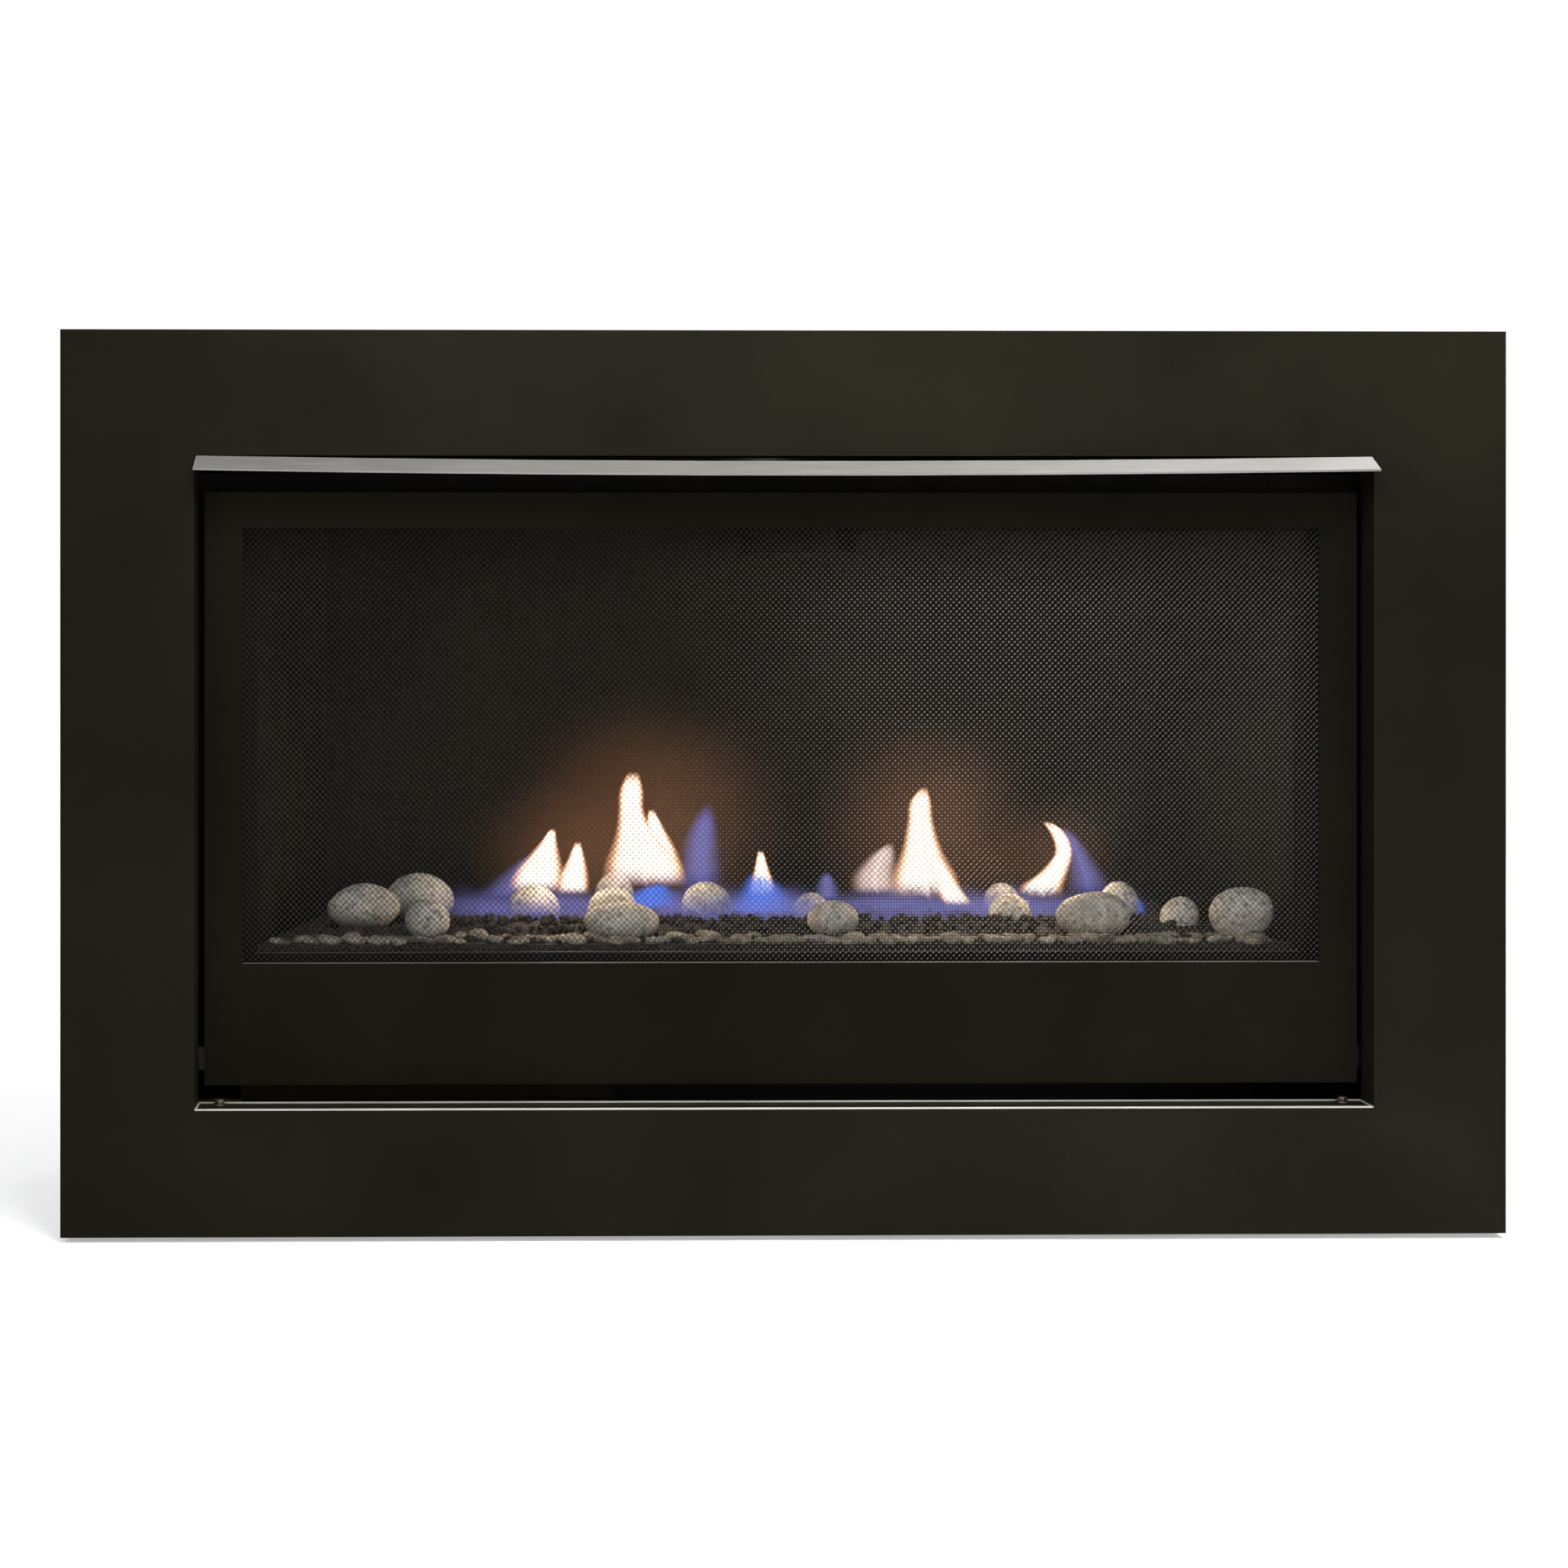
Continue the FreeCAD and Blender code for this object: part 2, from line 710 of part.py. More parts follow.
# Surround: one folded sheet with outer returns and a deeper return round its opening
def make_surround():
    outer = centred("surround_width", "surround_floor_gap", "surround_floor_gap + surround_height")
    inner = centred("surround_width - 2 * surround_sheet", "surround_floor_gap + surround_sheet",
                    "surround_floor_gap + surround_height - surround_sheet")
    opening = centred("opening_width", "opening_bottom", "opening_top")
    sleeve = centred("opening_width + 2 * surround_sheet", "opening_bottom - surround_sheet",
                     "opening_top + surround_sheet")
    frame = plate("surround", "XZ", [outer, opening], "surround_front", "surround_depth")
    pocket(frame, "XZ", [inner, sleeve], "surround_front + surround_sheet", "surround_depth + overrun")
    pad(frame, "XZ", [sleeve, opening], "casing_front", "opening_return - surround_depth")
    keep(frame, "surround")


def make_surround_brackets():
    front = "surround_front + surround_sheet"
    wall = "casing_width / 2"
    thick = " + surround_bracket_sheet"
    profile = [(wall, front), (wall + " + surround_bracket_reach", front),
               (wall + " + surround_bracket_reach", front + thick), (wall + thick, front + thick),
               (wall + thick, front + " + surround_bracket_leg"), (wall, front + " + surround_bracket_leg")]
    brackets = [plate("surround_bracket", "XY", [corners_of(sign, profile)],
                      "opening_bottom", "opening_top - surround_bracket_gap - opening_bottom")
                for sign in SIDES.values()]
    group("surround_brackets", brackets)


# Hood: a slim strip under the top of the opening that sags a little between its ends,
# so its side profile is swept along a very shallow arc
def make_hood():
    half = "(opening_width / 2 - hood_end_gap)"
    arc = "(%s ^ 2 + hood_bow ^ 2) / (2 * hood_bow)" % half
    back = "surround_front + hood_shelf"
    tip = "surround_front - hood_reach"
    low = "-(%s) - hood_sheet" % arc
    profile = [(back, "-(%s)" % arc), ("surround_front", "-(%s)" % arc), (tip, "-(%s) - hood_drop" % arc),
               (tip, low + " - hood_drop"), ("surround_front", low), (back, low)]
    strip = document.addObject("PartDesign::Body", "hood_strip")
    sketch = add_sketch(strip, "YZ", [profile])
    sweep = strip.newObject("PartDesign::Revolution", "hood_sweep")
    sweep.Profile = sketch
    sweep.ReferenceAxis = (sketch, ["H_Axis"])
    sweep.Midplane = True
    bind(sweep, Angle="2 * asin(%s / (%s))" % (half, arc))
    strip.Tip = sweep
    keep(put(strip, z="opening_top - clearance - hood_bow + " + arc), "hood_strip")


# Safety barrier: a folded frame with a net behind it, hung by two hooks on pins so that its foot swings out
def make_barrier_frame():
    outer = centred("barrier_width", "barrier_bottom", "barrier_top")
    hollow = centred("barrier_width - 2 * barrier_sheet", "barrier_bottom + barrier_sheet",
                     "barrier_top - barrier_sheet")
    window = centred("mesh_width", "mesh_bottom", "mesh_bottom + mesh_height")
    frame = plate("barrier_frame", "XZ", [outer, window], "barrier_front", "barrier_depth")
    pocket(frame, "XZ", [hollow], "barrier_front + barrier_sheet", "barrier_depth + overrun")
    keep(frame, "barrier_frame")


def make_barrier_mesh():
    """One holed face of staggered diamond gaps, behind the window of the barrier frame."""
    half_width = number("mesh_width / 2 + mesh_lap")
    bottom = number("mesh_bottom - mesh_lap")
    height = number("mesh_height + 2 * mesh_lap")
    border = number("mesh_border")
    depth = number("barrier_front + barrier_sheet")
    step = (half_width - border) / COUNTS["mesh_column_count"]
    rise = (height - 2 * border) / (COUNTS["mesh_row_count"] + 1)
    gap_width = step * SHARES["mesh_gap_share"]
    gap_height = rise * SHARES["mesh_gap_share"]

    def ring(pairs):
        return Part.makePolygon([FreeCAD.Vector(x, depth, z) for x, z in pairs + pairs[:1]])

    rings = [ring([(-half_width, bottom), (half_width, bottom),
                   (half_width, bottom + height), (-half_width, bottom + height)])]
    for row in range(COUNTS["mesh_row_count"]):
        level = bottom + border + (row + 1) * rise
        shift = row % 2
        for column in range(COUNTS["mesh_column_count"] - shift):
            middle = border - half_width + (2 * column + 1 + shift) * step
            rings.append(ring([(middle - gap_width, level), (middle, level - gap_height),
                               (middle + gap_width, level), (middle, level + gap_height)]))
    mesh = document.addObject("Part::Feature", "barrier_mesh")
    mesh.Shape = Part.makeFace(rings, "Part::FaceMakerBullseye").extrude(
        FreeCAD.Vector(0, number("mesh_sheet"), 0))
    keep(mesh, "barrier_mesh")


def make_barrier_hooks():
    start = "barrier_front + barrier_sheet"
    slot = "pin_radius + clearance"
    foot = "pin_level - hook_below"
    hooks = []
    for sign in SIDES.values():
        middle = sign + " * (barrier_width / 2 - barrier_sheet - hook_sheet / 2)"
        left = middle + " - hook_sheet / 2"
        blank = block("hook_blank", left, start, foot, "hook_sheet",
                      "pin_place + %s + hook_wall - (%s)" % (slot, start), "hook_height")
        seat = rod("hook_seat", left + " - overrun", "pin_place", "pin_level", slot,
                   "hook_sheet + 2 * overrun", "right")
        mouth = block("hook_mouth", left + " - overrun", "pin_place - (%s)" % slot, foot + " - overrun",
                      "hook_sheet + 2 * overrun", "2 * (%s)" % slot, "hook_below + overrun")
        hooks.append(carved("barrier_hook", blank, [seat, mouth]))
    group("barrier_hooks", hooks)


def make_hanging_pins():
    neck = "pin_reach - pin_head"
    profile = [("0", "0"), ("pin_radius", "0"), ("pin_radius", neck), ("pin_head_radius", neck),
               ("pin_head_radius", "pin_reach"), ("0", "pin_reach")]
    pins = [put(turned("hanging_pin", profile), sign + " * casing_side", "pin_place", "pin_level", inward)
            for sign, inward in (("-1", "right"), ("1", "left"))]
    group("hanging_pins", pins)


def make_magnet_catches():
    catches = []
    for sign in SIDES.values():
        middle = sign + " * (casing_side - magnet_width / 2)"
        body = block("magnet_body", middle + " - magnet_width / 2", "barrier_back + clearance",
                     "barrier_bottom + magnet_rise", "magnet_width", "magnet_depth", "magnet_height")
        catches.append(rounded("magnet_catch", body, along(ALONG_X), "magnet_round"))
    group("magnet_catches", catches)


# Glass: a ceramic pane and its rope gasket in a channel frame, clipped above and latched below
def make_glass():
    outer = centred("2 * frame_half_width", "frame_bottom", "frame_top")
    view = centred("glass_view_width", "view_bottom", "view_top")
    channel = centred("2 * (frame_half_width - glass_frame_sheet)", "frame_bottom + glass_frame_sheet",
                      "frame_top - glass_frame_sheet")
    frame = plate("glass_frame", "XZ", [outer, view], "glass_front", "glass_frame_depth")
    pocket(frame, "XZ", [channel], "glass_front + glass_frame_sheet", "glass_frame_depth")
    keep(frame, "glass_frame")

    seat = "glass_front + glass_frame_sheet"
    pane = centred("2 * pane_half_width", "pane_bottom", "pane_top")
    keep(plate("glass_pane", "XZ", [pane], seat, "glass_thickness"), "glass_pane")

    inside = centred("2 * (pane_half_width - gasket_width)", "pane_bottom + gasket_width",
                     "pane_top - gasket_width")
    keep(plate("glass_gasket", "XZ", [pane, inside], seat + " + glass_thickness",
               "glass_frame_depth - glass_frame_sheet - glass_thickness"), "glass_gasket")


def make_glass_clips():
    shelf = "frame_top + clearance"
    front = "glass_front - clip_sheet"
    profile = [(front, "frame_top - clip_overlap"), ("glass_front", "frame_top - clip_overlap"),
               ("glass_front", shelf), ("firebox_face", shelf), ("firebox_face", shelf + " + clip_foot"),
               ("firebox_face - clip_sheet", shelf + " + clip_foot"),
               ("firebox_face - clip_sheet", shelf + " + clip_sheet"), (front, shelf + " + clip_sheet")]
    starts = ("-frame_half_width", "frame_half_width - clip_width")
    group("glass_clips", [plate("glass_clip", "YZ", [profile], start, "clip_width") for start in starts])


def make_latches():
    half = "latch_width / 2 + ear_gap"
    thick = half + " + ear_sheet"
    front = "firebox_face - ear_out"
    web = "firebox_face - ear_sheet"
    foot = "latch_level - ear_height / 2"
    arm_front = "glass_front - clearance - latch_sheet"
    lean = "latch_place - latch_handle_out"
    brackets = []
    for side, sign in SIDES.items():
        middle = sign + " * latch_spread"
        channel = [("-(%s)" % thick, front), ("-(%s)" % half, front), ("-(%s)" % half, web), (half, web),
                   (half, front), (thick, front), (thick, "firebox_face"), ("-(%s)" % thick, "firebox_face")]
        bracket = plate("latch_bracket", "XY", [[("%s + %s" % (middle, x), y) for x, y in channel]],
                        foot, "ear_height")
        pin_hole = circle("latch_place", "latch_level", "latch_pin_radius + clearance")
        brackets.append(pocket(bracket, "YZ", [pin_hole], "%s - (%s) - overrun" % (middle, thick),
                               "2 * (%s + overrun)" % thick))

        start = middle + " - latch_width / 2"
        handle = [("latch_place - latch_sheet / 2", "latch_level"),
                  ("latch_place + latch_sheet / 2", "latch_level"),
                  (lean + " + latch_sheet / 2", "latch_level - latch_handle_drop"),
                  (lean + " - latch_sheet / 2", "latch_level - latch_handle_drop")]
        lever = plate("glass_latch_" + side, "YZ", [circle("latch_place", "latch_level", "latch_hub_radius")],
                      start, "latch_width")
        pad(lever, "YZ", [handle], start, "latch_width")
        pad(lever, "YZ", [rectangle(arm_front, "latch_place", "latch_level - latch_sheet",
                                    "latch_level + latch_sheet")], start, "latch_width")
        pad(lever, "YZ", [rectangle(arm_front, arm_front + " + latch_sheet", "latch_level - latch_sheet",
                                    "frame_bottom + latch_catch")], start, "latch_width")
        pad(lever, "YZ", [circle("latch_place", "latch_level", "latch_pin_radius")],
            "%s - (%s)" % (middle, thick), "2 * (%s)" % thick)
        keep(lever, "glass_latch_" + side)
    group("latch_brackets", brackets)


# Firebox: a front plate with the viewing opening, and a tapered box of sheet behind it
def make_firebox():
    keep(plate("firebox_front", "XZ", [centred("2 * casing_side", "firebox_bottom - firebox_margin",
                                               "firebox_top + firebox_margin"),
                                       centred("glass_view_width", "view_bottom", "view_top")],
               "firebox_face", "firebox_sheet"), "firebox_front")

    front, back = "firebox_front_width / 2", "firebox_back_width / 2"
    outline = [("-" + front, "firebox_start"), (front, "firebox_start"),
               (back, "firebox_end"), ("-" + back, "firebox_end")]
    holder_hole = circle("-holder_place", "burner_place", "holder_radius + tube_hole_gap")
    pilot_hole = circle("pilot_offset", "pilot_place", "pilot_tube_radius + tube_hole_gap")
    keep(plate("firebox_floor", "XY", [outline, holder_hole, pilot_hole],
               "firebox_bottom", "firebox_sheet"), "firebox_floor")
    keep(plate("firebox_roof", "XY", [outline, circle("0", "vent_place", "exhaust_radius - collar_sheet")],
               "firebox_top - firebox_sheet", "firebox_sheet"), "firebox_roof")
    keep(plate("firebox_back_wall", "XZ", [centred("firebox_back_width", "firebox_bottom", "firebox_top")],
               "firebox_end", "firebox_sheet"), "firebox_back_wall")
    wall = [(front, "firebox_start"), (front + " - firebox_sheet", "firebox_start"),
            (back + " - firebox_sheet", "firebox_end"), (back, "firebox_end")]
    for side, sign in SIDES.items():
        keep(plate("firebox_%s_wall" % side, "XY", [corners_of(sign, wall)],
                   "hearth", "firebox_height - 2 * firebox_sheet"), "firebox_%s_wall" % side)


def make_baffle():
    """A hat section that hangs from the roof in front of the exhaust."""
    top = "firebox_top - firebox_sheet"
    low = top + " - baffle_drop"
    edge, thick = "baffle_width / 2", " - baffle_sheet"
    half = [(edge, low), (edge, top + thick), (edge + " + baffle_foot", top + thick),
            (edge + " + baffle_foot", top), (edge + thick, top), (edge + thick, low + " + baffle_sheet")]
    right = [("baffle_offset + (%s)" % x, z) for x, z in half]
    left = [("baffle_offset - (%s)" % x, z) for x, z in reversed(half)]
    keep(plate("exhaust_baffle", "XZ", [right + left], "firebox_start + baffle_setback", "baffle_depth"),
         "exhaust_baffle")


def trapezium(inset):
    """The burner tray's outline, drawn in by an inset."""
    front, back = "tray_front_half - " + inset, "tray_back_half - " + inset
    start, end = "tray_start + " + inset, "tray_end - " + inset
    return [("-(%s)" % front, start), (front, start), (back, end), ("-(%s)" % back, end)]


# Burner: a tray with a slotted deck over a ported tube, fed through a venturi with a turning air shutter
def make_tray():
    slot = rectangle("-burner_left", "burner_right", "burner_place - burner_slot_width / 2",
                     "burner_place + burner_slot_width / 2")
    pilot_hole = circle("pilot_offset", "pilot_place", "pilot_tube_radius + tube_hole_gap")
    tray = plate("burner_tray", "XY", [trapezium("0")], "hearth", "tray_height")
    pocket(tray, "XY", [trapezium("tray_sheet")], "hearth - overrun", "tray_height - tray_sheet + overrun")
    pocket(tray, "XY", [slot, pilot_hole], "deck - tray_sheet - overrun", "tray_sheet + 2 * overrun")
    keep(tray, "burner_tray")

    room_across = "(pilot_base_width / 2 + bed_pilot_gap)"
    room_along = "(pilot_base_depth / 2 + bed_pilot_gap)"
    pilot_room = rectangle("pilot_offset - " + room_across, "pilot_offset + " + room_across,
                           "pilot_place - " + room_along, "pilot_place + " + room_along)
    bed = [trapezium("bed_inset"), slot, pilot_room]
    keep(plate("ember_bed", "XY", bed, "deck", "bed_thickness"), "ember_bed")


def make_burner():
    length = "burner_left + burner_right"
    bore = "venturi_radius + clearance"
    wall = "(burner_radius - %s)" % bore
    profile = [(bore, "0"), ("burner_radius", "0"), ("burner_radius", length), ("0", length),
               ("0", "%s - %s" % (length, wall)), (bore, "%s - %s" % (length, wall))]
    tube = turned("burner_tube", profile)
    count = COUNTS["burner_port_count"]
    step = "(%s - venturi_insert - 2 * burner_port_margin) / %d" % (length, count - 1)
    first = "venturi_insert + burner_port_margin"
    ports = [circle("0", "%s + %d * %s" % (first, index, step), "burner_port_radius")
             for index in range(count)]
    pocket(tube, "YZ", ports, "-burner_radius - overrun", "burner_radius + overrun")
    keep(put(tube, "-burner_left", "burner_place", "burner_level", "right"), "burner_tube")

    saddles = []
    for place in ("saddle_inset - burner_left", "burner_right - saddle_inset"):
        blank = block("saddle_blank", place, "burner_place - saddle_width / 2", "hearth",
                      "saddle_sheet", "saddle_width", "saddle_height")
        seat = rod("saddle_seat", place + " - overrun", "burner_place", "burner_level",
                   "burner_radius + clearance", "saddle_sheet + 2 * overrun", "right")
        saddles.append(carved("burner_saddle", blank, [seat]))
    group("burner_saddles", saddles)


def make_venturi():
    inside = "venturi_radius - venturi_wall"
    profile = [("venturi_mouth - venturi_wall", "0"), ("venturi_mouth", "0"),
               ("venturi_radius", "venturi_flare"), ("venturi_radius", "venturi_length"),
               (inside, "venturi_length"), (inside, "venturi_flare")]
    middle = "shutter_stand + shutter_length / 2"
    through = "2 * (venturi_mouth + overrun)"

    def window(level):
        return rectangle("-window_width / 2", "window_width / 2", level + " - window_length / 2",
                         level + " + window_length / 2")

    tube = turned("venturi_tube", profile)
    pocket(tube, "XZ", [window(middle)], "-venturi_mouth - overrun", through)
    keep(put(tube, "-venturi_end", "burner_place", "burner_level", "right"), "venturi_tube")

    bore = "venturi_radius + clearance"
    ring = turned("air_shutter", [(bore, "0"), (bore + " + shutter_wall", "0"),
                                  (bore + " + shutter_wall", "shutter_length"), (bore, "shutter_length")])
    pocket(ring, "XZ", [window("shutter_length / 2")], "-venturi_mouth - overrun", through)
    keep(put(ring, "-shutter_place", "burner_place", "burner_level", "right"), "air_shutter")


def make_injector():
    third = "injector_length / 3"
    jet = turned("injector", [("0", "0"), ("injector_nut", "0"), ("injector_nut", third),
                              ("injector_radius", third), ("injector_radius", "2 * " + third),
                              ("injector_tip", "injector_length"), ("0", "injector_length")])
    keep(put(jet, "-venturi_end - injector_length", "burner_place", "burner_level", "right"), "injector")

    foot = "firebox_bottom - holder_below"
    post = rod("holder_post", "-holder_place", "burner_place", foot, "holder_radius",
               "hearth + holder_above - (%s)" % foot)
    nut = rod("holder_lock_nut", "-holder_place", "burner_place", "firebox_bottom - holder_nut_height",
              "holder_nut", "holder_nut_height")
    boss = rod("holder_boss", "-holder_place", "burner_place", "burner_level", "injector_nut",
               "holder_radius", "right")
    keep(joined("injector_holder", [post, nut, boss]), "injector_holder")


# Pilot: hood, spark electrode and thermocouple in a row on a small plate behind the burner
def make_pilot():
    keep(block("pilot_bracket", "pilot_offset - pilot_base_width / 2", "pilot_place - pilot_base_depth / 2",
               "deck", "pilot_base_width", "pilot_base_depth", "pilot_sheet"), "pilot_bracket")
    top = "deck + pilot_sheet"
    inside = "pilot_hood_radius - pilot_hood_wall"
    ceiling = "pilot_hood_height - pilot_hood_wall"
    hood = turned("pilot_hood", [(inside, "0"), ("pilot_hood_radius", "0"),
                                 ("pilot_hood_radius", "pilot_hood_height"), ("0", "pilot_hood_height"),
                                 ("0", ceiling), (inside, ceiling)])
    flame_way = rectangle("-pilot_hood_slot_width / 2", "pilot_hood_slot_width / 2",
                          ceiling + " - pilot_hood_slot", ceiling)
    pocket(hood, "YZ", [flame_way], "-pilot_hood_radius - overrun", "2 * (pilot_hood_radius + overrun)")
    keep(put(hood, "pilot_offset", "pilot_place", top), "pilot_hood")

    wire_top = "electrode_height + electrode_wire_height"
    electrode = turned("spark_electrode", [("0", "0"), ("electrode_radius", "0"),
                                           ("electrode_radius", "electrode_height"),
                                           ("electrode_wire", "electrode_height"),
                                           ("electrode_wire", wire_top), ("0", wire_top)])
    keep(put(electrode, "pilot_offset - pilot_post", "pilot_place", top), "spark_electrode")
    probe = turned("thermocouple", [("0", "0"), ("thermocouple_radius", "0"),
                                    ("thermocouple_radius", "thermocouple_height - thermocouple_radius"),
                                    ("thermocouple_radius / 2", "thermocouple_height"),
                                    ("0", "thermocouple_height")])
    keep(put(probe, "pilot_offset + pilot_post", "pilot_place", top), "thermocouple")


# Stones: where each lies as shares of the tray's half width and depth, then its length, width and height
# as shares of the largest stone, and its turn
STONE_SHARES = [
    (-0.80, 0.42, 1.00, 0.95, 0.85, 0.4),
    (-0.69, 0.60, 0.94, 0.90, 1.00, -0.3),
    (-0.67, 0.14, 0.60, 0.72, 0.78, 0.0),
    (-0.46, 0.45, 0.74, 0.80, 0.82, 0.5),
    (-0.29, 0.15, 0.98, 0.95, 0.70, 0.0),
    (-0.30, 0.33, 0.63, 0.70, 0.85, 0.0),
    (-0.29, 0.58, 0.52, 0.60, 0.98, -0.6),
    (-0.11, 0.46, 0.71, 0.80, 0.91, 0.3),
    (0.10, 0.41, 0.53, 0.62, 0.72, 0.0),
    (0.12, 0.16, 0.69, 0.80, 0.72, -0.3),
    (0.49, 0.33, 0.61, 0.70, 0.76, 0.2),
    (0.51, 0.62, 0.50, 0.60, 0.80, 0.0),
    (0.63, 0.17, 1.00, 0.95, 0.85, 0.2),
    (0.72, 0.41, 0.57, 0.65, 0.91, 0.0),
    (0.82, 0.27, 0.52, 0.66, 0.76, 0.0),
    (0.92, 0.125, 0.85, 0.82, 0.96, 0.1),
]
# Chips: place across as shares of the tray's half width, then which row from the front
CHIP_SHARES = [
    (-0.93, 0), (-0.86, 0), (-0.79, 0), (-0.70, 0), (-0.61, 0), (-0.53, 0), (-0.45, 0), (-0.20, 0),
    (-0.12, 0), (-0.03, 0), (0.06, 0), (0.15, 0), (0.25, 0), (0.35, 0), (0.45, 0), (0.55, 0),
    (0.66, 0), (0.76, 0), (-0.91, 1), (-0.55, 1), (-0.47, 1), (-0.18, 1), (-0.05, 1), (0.22, 1),
    (0.33, 1), (0.42, 1),
]


def make_stones():
    stones = []
    for across, deep, length, width, height, turn in STONE_SHARES:
        rise = "%s * stone_height / (1 + stone_seat_share)" % height
        pebble = document.addObject("Part::Ellipsoid", "pebble_blank")
        bind(pebble, Radius1=rise, Radius2="%s * stone_length / 2" % length,
             Radius3="%s * stone_width / 2" % width)
        x, y = "%s * tray_front_half" % across, "tray_start + %s * tray_depth" % deep
        put(pebble, x, y, "bed_top + stone_seat_share * " + rise)
        pebble.Placement.Rotation = FreeCAD.Rotation(UP, turn * TURNS["stone_turn"])
        below = block("pebble_floor", x + " - stone_length", y + " - stone_length", "bed_top - stone_height",
                      "2 * stone_length", "2 * stone_length", "stone_height")
        stones.append(carved("pebble", pebble, [below]))
    group("pebbles", stones)

    chips = []
    for across, row in CHIP_SHARES:
        chip = document.addObject("Part::Prism", "chip")
        chip.Polygon = COUNTS["chip_side_count"]
        bind(chip, Circumradius="chip_radius", Height="chip_height")
        chips.append(put(chip, "%s * tray_front_half" % across,
                         "tray_start + chip_first_row + %d * chip_row_step" % row, "bed_top"))
    group("gravel_chips", chips)


# Controls behind the barrier's lower panel
def make_control_panel():
    profile = [("control_face", "casing_floor"), ("control_face + control_foot", "casing_floor"),
               ("control_face + control_foot", "casing_floor + control_sheet"),
               ("control_back", "casing_floor + control_sheet"),
               ("control_back", "casing_floor + control_height"),
               ("control_face", "casing_floor + control_height")]
    panel = plate("control_panel", "YZ", [profile], "-control_left", "control_width")
    holes = [circle("knob_place", "control_level", "stem_radius + tube_hole_gap"),
             circle("flame_knob_place", "control_level", "stem_radius + tube_hole_gap"),
             circle("igniter_place", "control_level", "igniter_radius + clearance"),
             rectangle("switch_place - switch_width / 2 - clearance",
                       "switch_place + switch_width / 2 + clearance",
                       "control_level - switch_height / 2 - clearance",
                       "control_level + switch_height / 2 + clearance")]
    pocket(panel, "XZ", holes, "control_face - overrun", "control_sheet + 2 * overrun")
    keep(panel, "control_panel")


def make_gas_valve():
    body = block("valve_body", "valve_left", "control_back", "control_level - valve_height / 2",
                 "valve_width", "valve_depth", "valve_height")
    body = rounded("valve_casting", body, along(ALONG_Y), "valve_round")
    boss = rod("valve_inlet", "valve_left - valve_boss", "control_back + valve_depth / 2", "control_level",
               "valve_boss_radius", "valve_boss + valve_round", "right")
    room = "stem_in + stem_travel + clearance"
    bores = [rod("valve_bore", place, "control_back - overrun", "control_level", "stem_radius + stem_fit",
                 room + " + overrun", "back") for place in ("knob_place", "flame_knob_place")]
    keep(carved("gas_valve", joined("valve_with_inlet", [body, boss]), bores), "gas_valve")
    keep(rod("valve_stem", "knob_place", "stem_tip", "control_level", "stem_radius", "stem_end - stem_tip",
             "back"), "valve_stem")


def grip(name, place, front, half_width):
    """The finger bar that stands proud of a knob's front."""
    return block(name, "%s - %s" % (place, half_width), front + " - knob_grip",
                 "control_level - knob_grip / 2", "2 * " + half_width, "knob_grip + knob_round", "knob_grip")


def make_knobs():
    bore = "stem_radius + stem_fit"
    dial = turned("control_dial", [(bore, "0"), ("knob_radius", "0"), ("knob_radius", "knob_skirt"),
                                   ("knob_waist", "knob_skirt + knob_round"),
                                   ("knob_waist", "knob_length - knob_round"),
                                   ("knob_waist - knob_round", "knob_length"), ("0", "knob_length"),
                                   ("0", "knob_bore"), (bore, "knob_bore")])
    put(dial, "knob_place", "control_face - knob_gap", "control_level", "front")
    knob_front = "control_face - knob_gap - knob_length"
    bar = grip("control_grip", "knob_place", knob_front, "(knob_waist - knob_round)")
    keep(joined("control_knob", [dial, bar]), "control_knob")

    root = "stem_in + control_sheet + flame_knob_gap"
    top = root + " + flame_knob_length"
    dial = turned("flame_dial", [("0", "0"), ("stem_radius", "0"), ("stem_radius", root),
                                 ("flame_knob_radius", root), ("flame_knob_radius", top + " - knob_round"),
                                 ("flame_knob_radius - knob_round", top), ("0", top)])
    put(dial, "flame_knob_place", "stem_end", "control_level", "front")
    bar = grip("flame_grip", "flame_knob_place", "stem_end - (%s)" % top, "(flame_knob_radius - knob_round)")
    keep(joined("flame_knob", [dial, bar]), "flame_knob")


def make_igniter():
    total = "igniter_length + igniter_flange_depth"
    bore = "igniter_button_radius + clearance"
    floor = total + " - igniter_button_in - igniter_travel - clearance"
    body = turned("igniter_body", [("0", "0"), ("igniter_radius", "0"), ("igniter_radius", "igniter_length"),
                                   ("igniter_flange", "igniter_length"), ("igniter_flange", total),
                                   (bore, total), (bore, floor), ("0", floor)])
    put(body, "igniter_place", "control_face + igniter_length", "control_level", "front")
    keep(body, "igniter_body")

    length = "igniter_button_in + igniter_button_out"
    button = turned("igniter_button", [("0", "0"), ("igniter_button_radius", "0"),
                                       ("igniter_button_radius", length + " - igniter_round"),
                                       ("igniter_button_radius - igniter_round", length), ("0", length)])
    button_end = "control_face - igniter_flange_depth + igniter_button_in"
    keep(put(button, "igniter_place", button_end, "control_level", "front"), "igniter_button")


